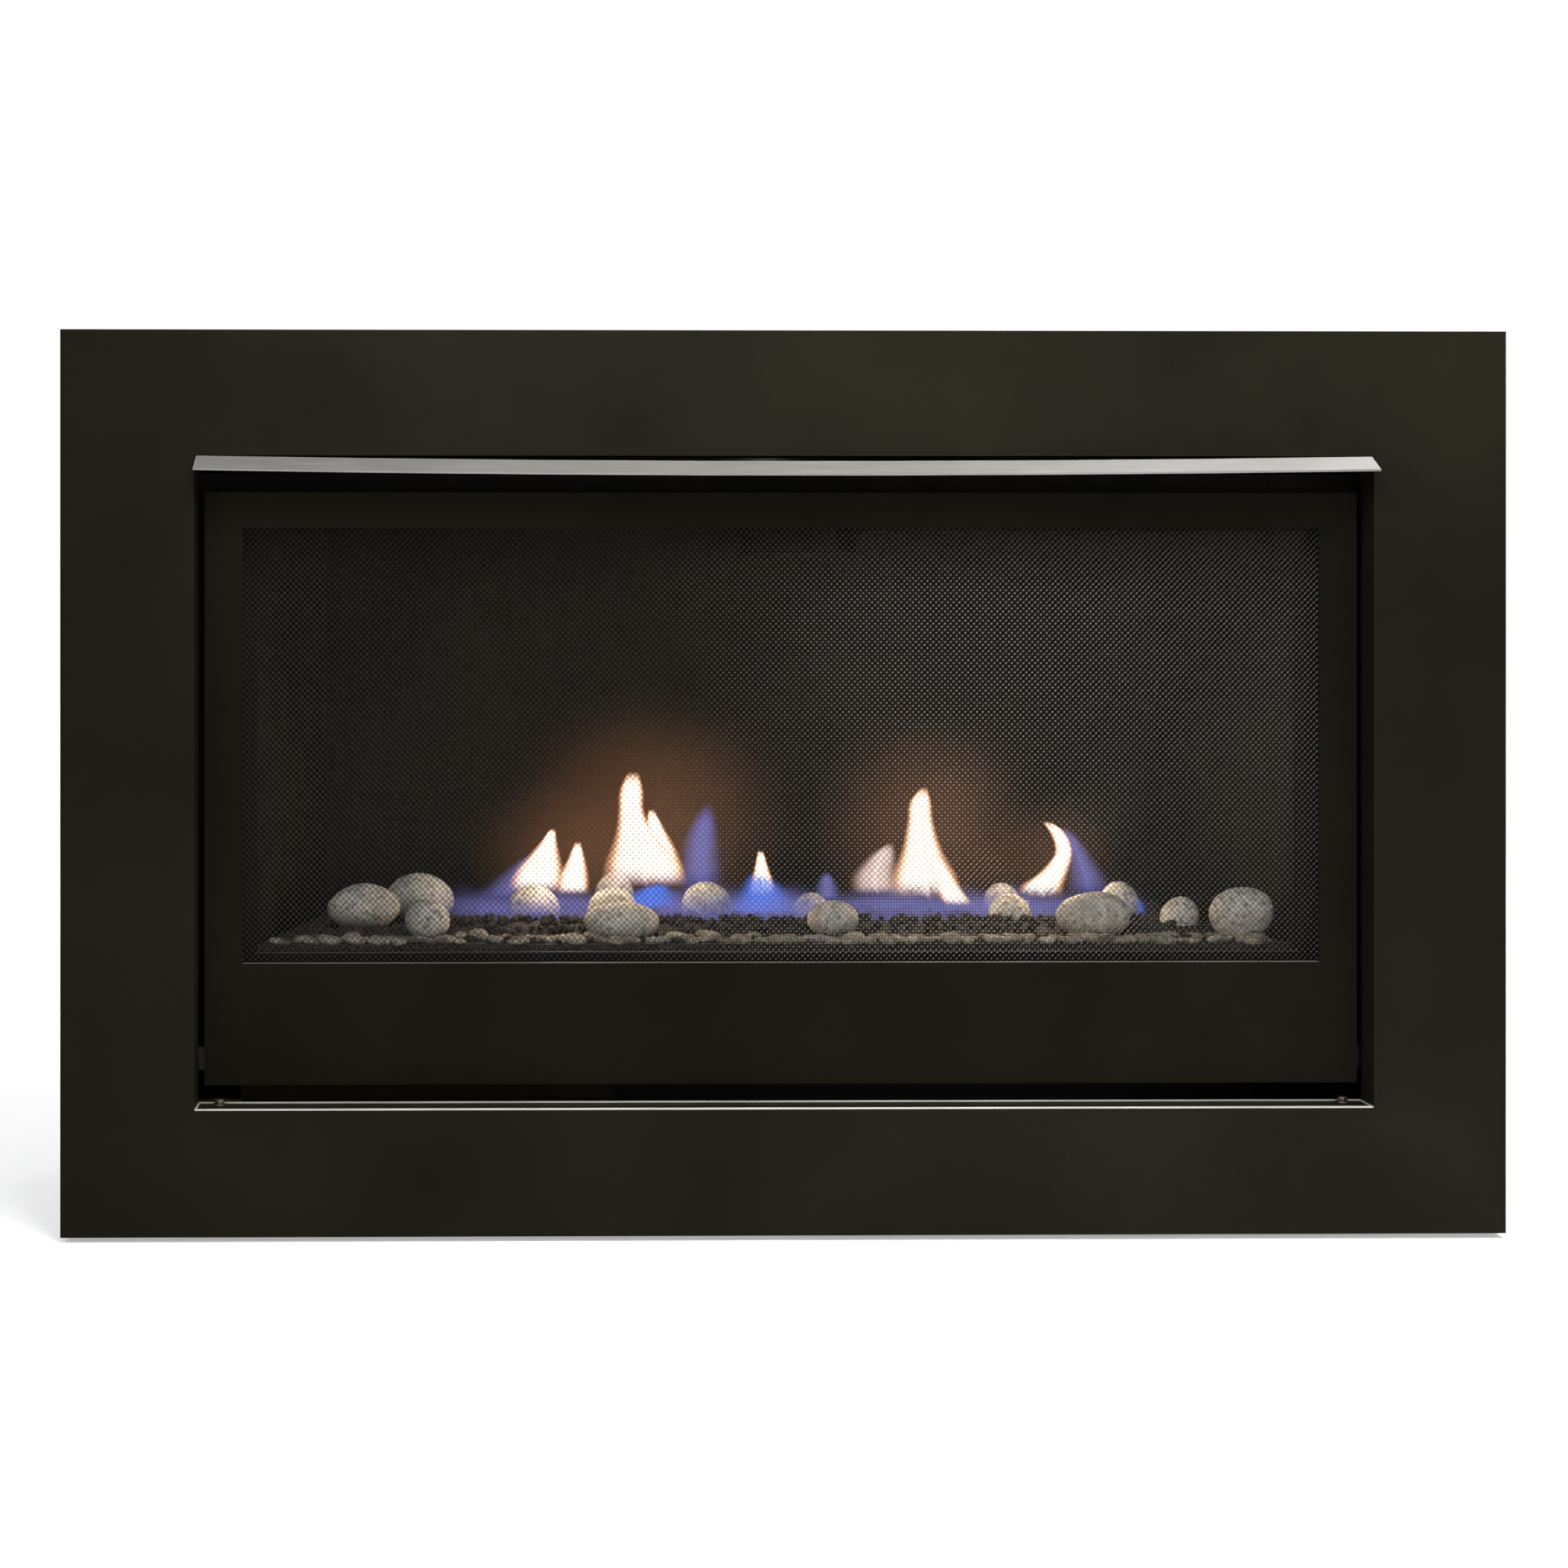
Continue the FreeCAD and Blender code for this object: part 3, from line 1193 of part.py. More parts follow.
def make_switch():
    face = "control_face - switch_bezel_depth"
    low = "control_level - switch_height / 2"
    can = block("switch_can", "switch_place - switch_width / 2", "control_face", low,
                "switch_width", "switch_depth", "switch_height")
    bezel = block("switch_bezel_plate", "switch_place - switch_width / 2 - switch_bezel", face,
                  low + " - switch_bezel", "switch_width + 2 * switch_bezel", "switch_bezel_depth",
                  "switch_height + 2 * switch_bezel")
    cavity = block("switch_cavity", "switch_place - rocker_width / 2 - clearance", face + " - overrun",
                   "control_level - rocker_height / 2 - rocker_gap", "rocker_width + 2 * clearance",
                   "rocker_cavity + overrun", "rocker_height + 2 * rocker_gap")
    pivot = "control_face + rocker_pivot_depth"
    bore = rod("switch_bore", "switch_place - switch_width / 2", pivot, "control_level",
               "rocker_pivot_radius + stem_fit", "switch_width", "right")
    keep(carved("switch_housing", joined("switch_shell", [can, bezel]), [cavity, bore]), "switch_housing")

    paddle = block("rocker_paddle", "switch_place - rocker_width / 2", face + " - rocker_out",
                   "control_level - rocker_height / 2", "rocker_width", "rocker_out + rocker_in",
                   "rocker_height")
    pin = rod("rocker_pin", "switch_place - rocker_width / 2 - rocker_pivot_in", pivot, "control_level",
              "rocker_pivot_radius", "rocker_width + 2 * rocker_pivot_in", "right")
    rocker = joined("switch_rocker", [paddle, pin])
    rocker.Placement = FreeCAD.Placement(FreeCAD.Vector(), FreeCAD.Rotation(FreeCAD.Vector(*ALONG_X),
                                         TURNS["rocker_turn"]), point("switch_place", pivot, "control_level"))
    keep(rocker, "switch_rocker")


# Gas line: shut-off valve at the casing wall, connector to the gas valve, and the tubes that leave it
def make_gas_line():
    shoulder = "inlet_depth + shutoff_waist / 2"
    body = turned("shutoff_body", [("inlet_bore", "0"), ("inlet_radius", "0"), ("inlet_radius", shoulder),
                                   ("shutoff_waist", shoulder), ("shutoff_waist", "shutoff_length"),
                                   ("0", "shutoff_length"), ("0", "inlet_depth"),
                                   ("inlet_bore", "inlet_depth")])
    put(body, "-casing_side", "line_place", "line_height", "right")
    pivot = "(%s + shutoff_length) / 2 - casing_side" % shoulder
    neck = rod("shutoff_neck_post", pivot, "line_place", "line_height", "shutoff_neck_radius", "shutoff_neck")
    stud = rod("shutoff_stud_post", pivot, "line_place", "line_height", "shutoff_stud_radius",
               "shutoff_neck + shutoff_stud")
    keep(joined("shutoff_valve", [body, neck, stud]), "shutoff_valve")

    level = "line_height + shutoff_neck"
    hub = rod("lever_hub", pivot, "line_place", level, "shutoff_lever_hub", "shutoff_lever_sheet")
    arm = block("lever_arm", pivot, "line_place - shutoff_lever_width / 2", level,
                "shutoff_lever_length", "shutoff_lever_width", "shutoff_lever_sheet")
    bore = rod("lever_bore", pivot, "line_place", level + " - overrun", "shutoff_stud_radius + stem_fit",
               "shutoff_lever_sheet + 2 * overrun")
    keep(carved("shutoff_lever", joined("lever_blank", [hub, arm]), [bore]), "shutoff_lever")

    start = "shutoff_length - casing_side"
    end = "valve_left - valve_boss"
    turn = "(%s + %s) / 2" % (start, end)
    inlet = "control_back + valve_depth / 2"
    bent_tube("gas_connector", [point(start, "line_place", "line_height"),
                                point(turn, "line_place", "line_height"),
                                point(turn, inlet, "line_height"), point(end, inlet, "control_level")],
              "connector_radius", "connector_bend")
    bent_tube("main_gas_tube", [point("-holder_place", "valve_back", "control_level"),
                                point("-holder_place", "burner_place", "control_level"),
                                point("-holder_place", "burner_place", "firebox_bottom - holder_below")],
              "main_tube_radius", "main_tube_bend")
    level = "casing_floor + pilot_tube_level"
    start = "-holder_place - pilot_tube_spread"
    bent_tube("pilot_gas_tube", [point(start, "valve_back", level), point(start, "pilot_place", level),
                                 point("pilot_offset", "pilot_place", level),
                                 point("pilot_offset", "pilot_place", "deck")],
              "pilot_tube_radius", "pilot_tube_bend")


def check_pieces():
    """Stop if any object failed, or if a piece has no valid solid."""
    document.recompute()
    for item in document.Objects:
        if "Invalid" in item.State or "Error" in item.State:
            raise RuntimeError(item.Label + " failed")
    for piece in PIECES:
        if piece.Shape.isNull() or not piece.Shape.isValid() or not piece.Shape.Solids:
            raise RuntimeError(piece.Label + " has no valid solid")


make_casing()
make_feet()
make_nailing_flanges()
make_collar("intake_collar", "intake_radius", "casing_top", "intake_height")
make_collar("exhaust_collar", "exhaust_radius", "firebox_top",
            "casing_top + intake_height + exhaust_stand - firebox_top")
make_surround()
make_surround_brackets()
make_hood()
make_barrier_frame()
make_barrier_mesh()
make_barrier_hooks()
make_hanging_pins()
make_magnet_catches()
make_glass()
make_glass_clips()
make_latches()
make_firebox()
make_baffle()
make_tray()
make_burner()
make_venturi()
make_injector()
make_pilot()
make_stones()
make_control_panel()
make_gas_valve()
make_knobs()
make_igniter()
make_switch()
make_gas_line()
check_pieces()

os.makedirs("parts", exist_ok=True)
for piece in PIECES:
    piece.Shape.exportStep("parts/%s.step" % piece.Label)
print(len(PIECES), "pieces written")
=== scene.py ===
# %% [markdown]
# # A direct vent gas fireplace, dressed for its photograph
# The CAD model is loaded as a fixed frame: its solids give the sizes, the places and the motion. This
# lesson gives every solid its finish, and models what the solids leave plain: the fine barrier mesh,
# stones, gravel, ember granules, flames, edges painted bright as highlights, screws, the seal round the
# gas pipe and the marks on the controls.

# %% Load the frame
import math
import random

import bpy
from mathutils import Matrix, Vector


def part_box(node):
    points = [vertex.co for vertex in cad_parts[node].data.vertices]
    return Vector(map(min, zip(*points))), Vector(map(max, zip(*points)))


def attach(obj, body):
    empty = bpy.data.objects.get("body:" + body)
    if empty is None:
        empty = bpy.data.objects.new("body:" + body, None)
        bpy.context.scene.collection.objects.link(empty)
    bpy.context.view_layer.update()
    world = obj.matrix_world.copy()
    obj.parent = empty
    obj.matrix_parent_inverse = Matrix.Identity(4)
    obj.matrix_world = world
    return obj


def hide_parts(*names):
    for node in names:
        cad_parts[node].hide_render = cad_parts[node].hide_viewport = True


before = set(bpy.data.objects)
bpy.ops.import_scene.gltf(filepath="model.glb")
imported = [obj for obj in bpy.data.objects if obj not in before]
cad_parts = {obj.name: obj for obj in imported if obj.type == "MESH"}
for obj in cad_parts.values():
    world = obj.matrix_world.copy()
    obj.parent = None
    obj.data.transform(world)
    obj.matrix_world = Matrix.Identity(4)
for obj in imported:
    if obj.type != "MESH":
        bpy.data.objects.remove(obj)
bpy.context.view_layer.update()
scene = bpy.context.scene
scene.view_settings.view_transform = "Standard"

# %% [markdown]
# ## Camera
# The photograph looks almost straight at the front, from a little left of the middle and above the
# stones. A straight camera with a lens shift keeps the surround's edges parallel, as they are in the
# photograph; turning the camera towards the middle would make them lean. A tiny turn makes the left side
# a little taller.

# %% Camera
CAMERA_PLACE = (-0.23, -2.181, 0.473)
CAMERA_TURN = 0.8
CAMERA_LENS = 59.14
CAMERA_SHIFT = (0.1645, -0.0966)
SENSOR_WIDTH = 36.0

camera_data = bpy.data.cameras.new("photo_camera")
camera_data.lens = CAMERA_LENS
camera_data.sensor_width = SENSOR_WIDTH
camera_data.shift_x, camera_data.shift_y = CAMERA_SHIFT
camera = bpy.data.objects.new("photo_camera", camera_data)
camera.location = CAMERA_PLACE
camera.rotation_euler = (math.radians(90), 0, math.radians(-CAMERA_TURN))
scene.collection.objects.link(camera)
scene.camera = camera
print("camera at", CAMERA_PLACE, "lens", CAMERA_LENS)

# %% [markdown]
# ## Colours
# A colour is picked as it looks on a screen, but a shader works with linear light. One small function
# turns the first into the second, so the numbers below can be compared with what a picture shows.

# %% Colours
# below this share the curve of a screen is a straight line
SCREEN_KNEE = 0.0404


def tint(red, green, blue):
    """A colour picked as it looks on a screen, 0 to 255, as the linear value that a shader takes."""
    shares = [value / 255 for value in (red, green, blue)]
    linear = [share / 12.92 if share < SCREEN_KNEE else ((share + 0.055) / 1.055) ** 2.4 for share in shares]
    return (*linear, 1.0)


print("middle grey on a screen is", round(tint(128, 128, 128)[0], 3), "as linear light")

# %% [markdown]
# ## Finishes
# Each finish is a small node tree on Object coordinates, so the grain has a true scale in metres and
# stays with the piece in every view. One class holds a material, and makes the three things that nearly
# all finishes share: a mottled colour, a roughness that varies, and a fine bump.


# %% Helper for finishes
class Finish:
    """One material with its Principled shader and a few ways to add detail."""

    def __init__(self, name, metallic=0.0, specular=0.5):
        self.material = bpy.data.materials.new(name)
        self.material.use_nodes = True
        self.nodes = self.material.node_tree.nodes
        self.links = self.material.node_tree.links
        self.shader = self.nodes["Principled BSDF"]
        self.shader.inputs["Metallic"].default_value = metallic
        self.shader.inputs["Specular IOR Level"].default_value = specular
        self.place = self.nodes.new("ShaderNodeTexCoord").outputs["Object"]

    def feed(self, node, inputs):
        """Give a node its inputs: each is a plain value or the output of another node."""
        for key, value in inputs.items():
            if isinstance(value, bpy.types.NodeSocket):
                self.links.new(value, node.inputs[key])
            else:
                node.inputs[key].default_value = value
        return node

    def node(self, kind, inputs):
        return self.feed(self.nodes.new("ShaderNode" + kind), inputs)

    def noise(self, scale, detail=3.0, stretch=(1, 1, 1)):
        mapping = self.node("Mapping", {"Vector": self.place, "Scale": stretch})
        place = mapping.outputs["Vector"]
        return self.node("TexNoise", {"Vector": place, "Scale": scale, "Detail": detail}).outputs["Fac"]

    def cells(self, scale):
        return self.node("TexVoronoi", {"Vector": self.place, "Scale": scale}).outputs["Color"]

    def bands(self, scale, distortion=0.0):
        texture = self.node("TexWave", {"Vector": self.place, "Scale": scale, "Distortion": distortion})
        texture.bands_direction = "DIAGONAL"
        return texture.outputs["Fac"]

    def ramp(self, value, *stops):
        ramp = self.node("ValToRGB", {"Fac": value})
        elements = ramp.color_ramp.elements
        while len(elements) < len(stops):
            elements.new(0.5)
        for element, (position, colour) in zip(elements, stops):
            element.position = position
            element.color = colour
        return ramp.outputs["Color"]

    def span(self, value, low, high, start=0.3, end=0.7):
        limits = {"From Min": start, "From Max": end, "To Min": low, "To Max": high}
        return self.node("MapRange", {"Value": value, **limits}).outputs["Result"]

    def math(self, operation, first, second):
        node = self.nodes.new("ShaderNodeMath")
        node.operation = operation
        return self.feed(node, {0: first, 1: second}).outputs[0]

    def mix(self, factor, first, second):
        node = self.nodes.new("ShaderNodeMix")
        node.data_type = "RGBA"
        return self.feed(node, {"Factor": factor, 6: first, 7: second}).outputs[2]

    def colour(self, value):
        self.feed(self.shader, {"Base Color": value})

    def mottle(self, value, dark, light):
        self.colour(self.ramp(value, (0.3, dark), (0.7, light)))

    def rough(self, value, low, high):
        self.feed(self.shader, {"Roughness": self.span(value, low, high)})

    def bump(self, value, strength, distance):
        bump = self.node("Bump", {"Height": value, "Strength": strength, "Distance": distance})
        self.feed(self.shader, {"Normal": bump.outputs["Normal"]})

    def axes(self):
        """The X, Y and Z of the point."""
        return self.node("SeparateXYZ", {"Vector": self.place}).outputs

    def within(self, **limits):
        """A 1 where the point lies inside the named limits, such as x=(low, high), and a 0 outside them."""
        axes = self.axes()
        total = None
        for axis, (low, high) in limits.items():
            above = self.math("GREATER_THAN", axes[axis.upper()], low)
            below = self.math("LESS_THAN", axes[axis.upper()], high)
            both = self.math("MULTIPLY", above, below)
            total = both if total is None else self.math("MULTIPLY", total, both)
        return total


print("finish helper ready")

# %% [markdown]
# A CAD node has its shape already, so it only changes its plain material for a finish.


# %% Dress CAD nodes
def wear(finish, *node_names):
    """Give CAD nodes their finish."""
    for node_name in node_names:
        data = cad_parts[node_name].data
        data.materials.clear()
        data.materials.append(finish.material)


print("CAD nodes to dress:", len(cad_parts))

# %% [markdown]
# ## World
# The world is white to the camera and dimmer as light, so that black paint keeps its depth. A light path
# node tells the two apart.

# %% World
WORLD_LIGHT = 0.37


def seen_directly(nodes, links):
    """A 1 for rays of the camera, straight or through glass, and a 0 for the rest."""
    path = nodes.new("ShaderNodeLightPath")
    either = nodes.new("ShaderNodeMath")
    either.operation = "MAXIMUM"
    links.new(path.outputs["Is Camera Ray"], either.inputs[0])
    links.new(path.outputs["Is Transmission Ray"], either.inputs[1])
    return either.outputs[0]


world = bpy.data.worlds.new("studio")
scene.world = world
world.use_nodes = True
tree = world.node_tree
span = tree.nodes.new("ShaderNodeMapRange")
span.inputs["To Min"].default_value = WORLD_LIGHT
span.inputs["To Max"].default_value = 1.0
tree.links.new(seen_directly(tree.nodes, tree.links), span.inputs["Value"])
tree.links.new(span.outputs["Result"], tree.nodes["Background"].inputs["Strength"])
tree.nodes["Background"].inputs["Color"].default_value = (1, 1, 1, 1)
print("world light:", WORLD_LIGHT)

# %% [markdown]
# ## Lamps
# A key lamp hangs near the right end of the hood strip, which is brightest there. A small lamp stands
# where the right half of the mesh mirrors it, for the glints on the wires. A soft lamp over the front
# washes the surround's upper border, a low wide lamp in front reaches the stones, and the others fill
# the left side and the back.

# %% Lamps
# each lamp: its place, where it points, its size and its power
LAMPS = {
    "right_key": ((0.72, -0.31, 1.4), (0.45, -0.19, 0.6), 0.4, 23.0),
    "left_fill": ((-2.2, -2.2, 1.4), (0.0, 0.0, 0.35), 1.4, 10.0),
    "mesh_glint": ((0.65, -1.9, 0.34), (0.25, -0.15, 0.38), 0.9, 8.0),
    "top_wash": ((-0.12, -0.9, 1.25), (0.0, -0.18, 0.66), 0.5, 11.0),
    "low_front": ((-0.3, -3.3, 0.55), (0.0, 0.0, 0.3), 1.8, 10.0),
    "back_left": ((-1.8, 2.4, 1.8), (0.0, 0.0, 0.4), 1.6, 34.0),
    "back_right": ((1.8, 2.4, 1.8), (0.0, 0.0, 0.4), 1.6, 26.0),
}


def hang_lamp(name, kind, place, power):
    data = bpy.data.lights.new(name, kind)
    data.energy = power
    lamp = bpy.data.objects.new(name, data)
    lamp.location = place
    scene.collection.objects.link(lamp)
    return lamp


for name, (place, target, size, power) in LAMPS.items():
    lamp = hang_lamp(name, "AREA", place, power)
    lamp.data.shape = "DISK"
    lamp.data.size = size
    lamp.rotation_euler = (Vector(target) - Vector(place)).to_track_quat("-Z", "Y").to_euler()
print("lamps:", len(LAMPS))

# %% [markdown]
# ## Floor
# A pale floor holds the shadow. It glows a little, and more further out, so that it meets the white
# backdrop without a line.

# %% Floor
FLOOR_SIZE = 30.0
# the floor's glow near its middle and far out, and where it starts and stops to grow
FLOOR_GLOW = (0.35, 0.8, 1.0, 3.5)

bpy.ops.object.select_all(action="DESELECT")
bpy.ops.mesh.primitive_plane_add(size=FLOOR_SIZE, location=(0, 0, 0))
floor = bpy.context.object
floor.name = "floor"
pale = Finish("pale_floor", specular=0.1)
away = pale.node("VectorMath", {0: pale.place})
away.operation = "LENGTH"
far_glow = pale.span(away.outputs["Value"], *FLOOR_GLOW)
lift = pale.math("MULTIPLY", seen_directly(pale.nodes, pale.links), far_glow)
pale.feed(pale.shader, {"Base Color": (0.86, 0.86, 0.86, 1), "Roughness": 0.9})
pale.feed(pale.shader, {"Emission Color": (1, 1, 1, 1), "Emission Strength": lift})
floor.data.materials.append(pale.material)
print("floor:", FLOOR_SIZE, "m across")

# %% [markdown]
# ## Black powder coat
# The surround and the barrier frame are steel with a matt black powder coat: nearly black, a little
# warm, with the fine orange peel that a cured powder has, and a faint cloudiness. Little gloss is left
# in, because a black sheet that mirrors a white room turns grey.


# %% Powder coat
def powder_coat(name, dark, light, gloss):
    finish = Finish(name, specular=gloss)
    cloud = finish.noise(5.0, detail=4.0)
    peel = finish.noise(1400.0, detail=1.0)
    finish.mottle(cloud, dark, light)
    finish.rough(finish.noise(60.0), 0.42, 0.55)
    finish.bump(peel, 0.25, 0.0004)
    return finish


surround_coat = powder_coat("surround_powder_coat", tint(19, 18, 11), tint(28, 26, 18), 0.03)
barrier_coat = powder_coat("barrier_powder_coat", tint(15, 13, 8), tint(22, 20, 13), 0.02)
wear(surround_coat, "surround", "surround_brackets", "control_panel")
wear(barrier_coat, "barrier_frame")
print("powder coats on the surround and the barrier")

# %% [markdown]
# ## Bright hood
# The hood strip is a thin bent sheet with a satin brushed face. Brushing runs along the strip, so the
# noise is stretched along X: the highlights smear into long soft streaks. Its upper face mirrors the
# black surround, so a pure metal would look black; a satin lacquer over it scatters light, so the metal
# part is kept low.


# %% Satin metal
def satin_metal(name, dark, light, low, high, metal):
    finish = Finish(name, metallic=metal)
    grain = finish.noise(900.0, detail=2.0, stretch=(0.02, 1, 1))
    finish.mottle(grain, dark, light)
    finish.rough(finish.noise(12.0), low, high)
    finish.bump(grain, 0.12, 0.0003)
    return finish


hood_satin = satin_metal("satin_hood", tint(108, 107, 103), tint(126, 125, 121), 0.35, 0.5, 0.25)
wear(hood_satin, "hood_strip")
print("satin metal on the hood strip")

# %% [markdown]
# ## Galvanised sheet
# The casing, the flanges and the vent collars are galvanised steel, whose zinc freezes into large flat
# crystals. A cell texture gives each crystal its own grey. Inside the casing's walls the finish turns
# black and loses its metal: painted shade, so the gaps beside the barrier look into darkness.

# %% Zinc
casing_low, casing_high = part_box("casing_left_side")[0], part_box("casing_right_side")[1]
SKIN = 0.0006
ZINC_SHINE = 0.85


def zinc(name, shade_inside=False):
    finish = Finish(name, metallic=ZINC_SHINE)
    crystal = finish.cells(70.0)
    grey = finish.ramp(crystal, (0.0, tint(150, 153, 154)), (1.0, tint(188, 191, 192)))
    if shade_inside:
        # painted shade: inside the casing's walls the sheet turns near black and not metallic
        inside = finish.within(
            x=(casing_low.x + SKIN, casing_high.x - SKIN),
            y=(casing_low.y - SKIN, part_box("casing_back")[1].y - SKIN),
            z=(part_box("casing_base")[0].z + SKIN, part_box("casing_top")[1].z - SKIN),
        )
        grey = finish.mix(inside, grey, tint(10, 10, 9))
        shine = finish.math("SUBTRACT", ZINC_SHINE, finish.math("MULTIPLY", inside, ZINC_SHINE))
        finish.feed(finish.shader, {"Metallic": shine})
    finish.colour(grey)
    finish.rough(finish.noise(25.0), 0.38, 0.55)
    finish.bump(finish.noise(220.0), 0.1, 0.0004)
    return finish


casing_zinc = zinc("casing_zinc", shade_inside=True)
plain_zinc = zinc("plain_zinc")
wear(casing_zinc, "casing_base", "casing_top", "casing_left_side", "casing_right_side", "casing_back")
wear(plain_zinc, "nailing_flange_left", "nailing_flange_right", "intake_collar", "exhaust_collar")
print("zinc on the casing, the flanges and the collars")

# %% [markdown]
# ## Firebox paint
# The firebox is painted with heat-proof black, which goes dull and slightly brown with use. It is nearly
# without gloss, and blotchy on a scale of a hand.


# %% Heat black
def heat_black(name, dark, light):
    finish = Finish(name, specular=0.12)
    soot = finish.noise(9.0, detail=6.0)
    finish.mottle(soot, dark, light)
    finish.rough(finish.noise(40.0), 0.72, 0.9)
    finish.bump(finish.noise(700.0), 0.3, 0.0005)
    return finish


wall_black = heat_black("firebox_heat_black", tint(20, 17, 13), tint(32, 27, 21))
trim_black = heat_black("glass_frame_heat_black", tint(12, 11, 9), tint(20, 18, 15))
wear(wall_black, "firebox_floor", "firebox_roof", "firebox_back_wall",
     "firebox_left_wall", "firebox_right_wall")
wear(trim_black, "firebox_front", "glass_frame", "glass_clips",
     "exhaust_baffle", "burner_tray", "burner_saddles")
print("heat black in the firebox")

# %% [markdown]
# ## Glass and rope
# The pane is clear ceramic glass with a faint brown cast. A thin sheet bends light very little, so it is
# made mostly see-through with alpha instead of solid refraction: the stones behind it stay lit. The
# gasket is a woven white rope.

# %% Glass and gasket
pane = Finish("ceramic_glass", specular=0.08)
pane.mottle(pane.noise(6.0), tint(30, 26, 20), tint(40, 36, 30))
pane.rough(pane.noise(14.0), 0.08, 0.16)
pane.feed(pane.shader, {"Alpha": 0.08})
wear(pane, "glass_pane")

rope = Finish("woven_rope", specular=0.1)
twist = rope.bands(220.0, distortion=2.0)
# the rope is darker where the twist's bump is low: painted shade in its grooves
rope.colour(rope.ramp(twist, (0.2, tint(150, 146, 136)), (0.8, tint(206, 201, 190))))
rope.rough(rope.noise(80.0), 0.8, 0.95)
rope.bump(twist, 0.5, 0.001)
wear(rope, "glass_gasket")
print("glass and rope gasket")

# %% [markdown]
# ## Plated steel, brass, alloy, plastic and ceramic
# The small works have everyday finishes: zinc-plated latches and feet, blackened pins, brass gas
# fittings, a die-cast valve, drawn tubes, moulded knobs and a glazed spark insulator.
# One function makes the metals, from their colour and how coarse their surface is.


# %% Metals and plastics
def worked_metal(name, dark, light, low, high, grain_scale, depth=0.0003):
    finish = Finish(name, metallic=1.0)
    grain = finish.noise(grain_scale, detail=4.0)
    finish.mottle(grain, dark, light)
    finish.rough(finish.noise(30.0), low, high)
    finish.bump(grain, 0.25, depth)
    return finish


def moulded(name, dark, light, gloss=0.35):
    finish = Finish(name, specular=gloss)
    finish.mottle(finish.noise(30.0), dark, light)
    finish.rough(finish.noise(90.0), 0.35, 0.5)
    finish.bump(finish.noise(2500.0, detail=1.0), 0.3, 0.0002)
    return finish


plated = worked_metal("zinc_plate", tint(150, 150, 146), tint(184, 184, 178), 0.3, 0.42, 300.0)
blackened = worked_metal("blackened_steel", tint(14, 13, 11), tint(24, 22, 19), 0.5, 0.65, 300.0)
brass = worked_metal("machined_brass", tint(176, 140, 70), tint(206, 170, 96), 0.22, 0.36, 500.0)
cast_alloy = worked_metal("die_cast_alloy", tint(148, 148, 148), tint(176, 176, 176), 0.45, 0.6, 420.0,
                          depth=0.0008)
drawn_tube = worked_metal("drawn_tube", tint(168, 168, 170), tint(196, 196, 198), 0.25, 0.4, 700.0)
tinted_steel = worked_metal("heat_tinted_steel", tint(92, 82, 74), tint(128, 118, 110), 0.35, 0.55, 200.0)
corrugated = Finish("corrugated_connector", metallic=1.0)
rings = corrugated.bands(130.0)
# darker where the rings' bump is low: painted shade in the grooves
corrugated.colour(corrugated.ramp(rings, (0.2, tint(120, 120, 118)), (0.8, tint(190, 190, 188))))
corrugated.rough(corrugated.noise(40.0), 0.25, 0.4)
corrugated.bump(rings, 0.8, 0.002)
black_plastic = moulded("black_plastic", tint(18, 18, 18), tint(26, 26, 26))
red_plastic = moulded("red_plastic", tint(150, 22, 18), tint(176, 30, 24))
glaze = moulded("glazed_ceramic", tint(214, 210, 200), tint(236, 233, 226), 0.5)
print("finishes for the small works ready")

# %% [markdown]
# Each of these finishes goes to the CAD nodes that are made of it.

# %% Dress the small works
WORKS = {
    plated: ("levelling_feet", "glass_latch_left", "glass_latch_right",
             "latch_brackets", "air_shutter", "valve_stem"),
    blackened: ("hanging_pins", "barrier_hooks"),
    brass: ("injector", "injector_holder", "shutoff_valve"),
    cast_alloy: ("gas_valve",),
    drawn_tube: ("main_gas_tube", "pilot_gas_tube"),
    tinted_steel: ("burner_tube", "venturi_tube", "pilot_bracket", "pilot_hood", "thermocouple"),
    corrugated: ("gas_connector",),
    black_plastic: ("magnet_catches", "control_knob", "flame_knob",
                    "igniter_body", "switch_housing", "switch_rocker"),
    red_plastic: ("igniter_button", "shutoff_lever"),
    glaze: ("spark_electrode",),
}
for finish, node_names in WORKS.items():
    wear(finish, *node_names)
print("small works dressed:", sum(len(names) for names in WORKS.values()))

# %% [markdown]
# ## Stones, gravel and embers
# Beach stones are tumbled smooth, pale and warm grey, mottled, and flecked with darker grains. The
# mottling comes from a coarse noise and the flecks from a fine one.


# %% Stone finishes
def stone_finish(name, stops, fleck, grain_scale, depth):
    finish = Finish(name, specular=0.25)
    body = finish.ramp(finish.noise(32.0, detail=4.0), *stops)
    flecks = finish.span(finish.noise(grain_scale, detail=5.0), 0.0, 1.0, 0.52, 0.66)
    finish.colour(finish.mix(flecks, body, fleck))
    finish.rough(finish.noise(120.0), 0.6, 0.85)
    finish.bump(finish.noise(grain_scale, detail=5.0), 0.35, depth)
    return finish


beach_stone = stone_finish(
    "beach_stone",
    [(0.34, tint(184, 177, 165)), (0.45, tint(217, 213, 203)),
     (0.56, tint(176, 176, 166)), (0.66, tint(210, 201, 189))],
    tint(126, 122, 112), 260.0, 0.0009)
gravel_stone = stone_finish(
    "gravel_chips",
    [(0.34, tint(92, 84, 72)), (0.45, tint(170, 164, 150)),
     (0.56, tint(120, 114, 100)), (0.66, tint(196, 188, 172))],
    tint(60, 56, 48), 600.0, 0.0008)
ember_grain = stone_finish(
    "ember_granules",
    [(0.34, tint(20, 18, 16)), (0.5, tint(44, 40, 36)), (0.66, tint(28, 25, 22))],
    tint(84, 78, 70), 500.0, 0.002)
wear(ember_grain, "ember_bed")
print("stone finishes ready")
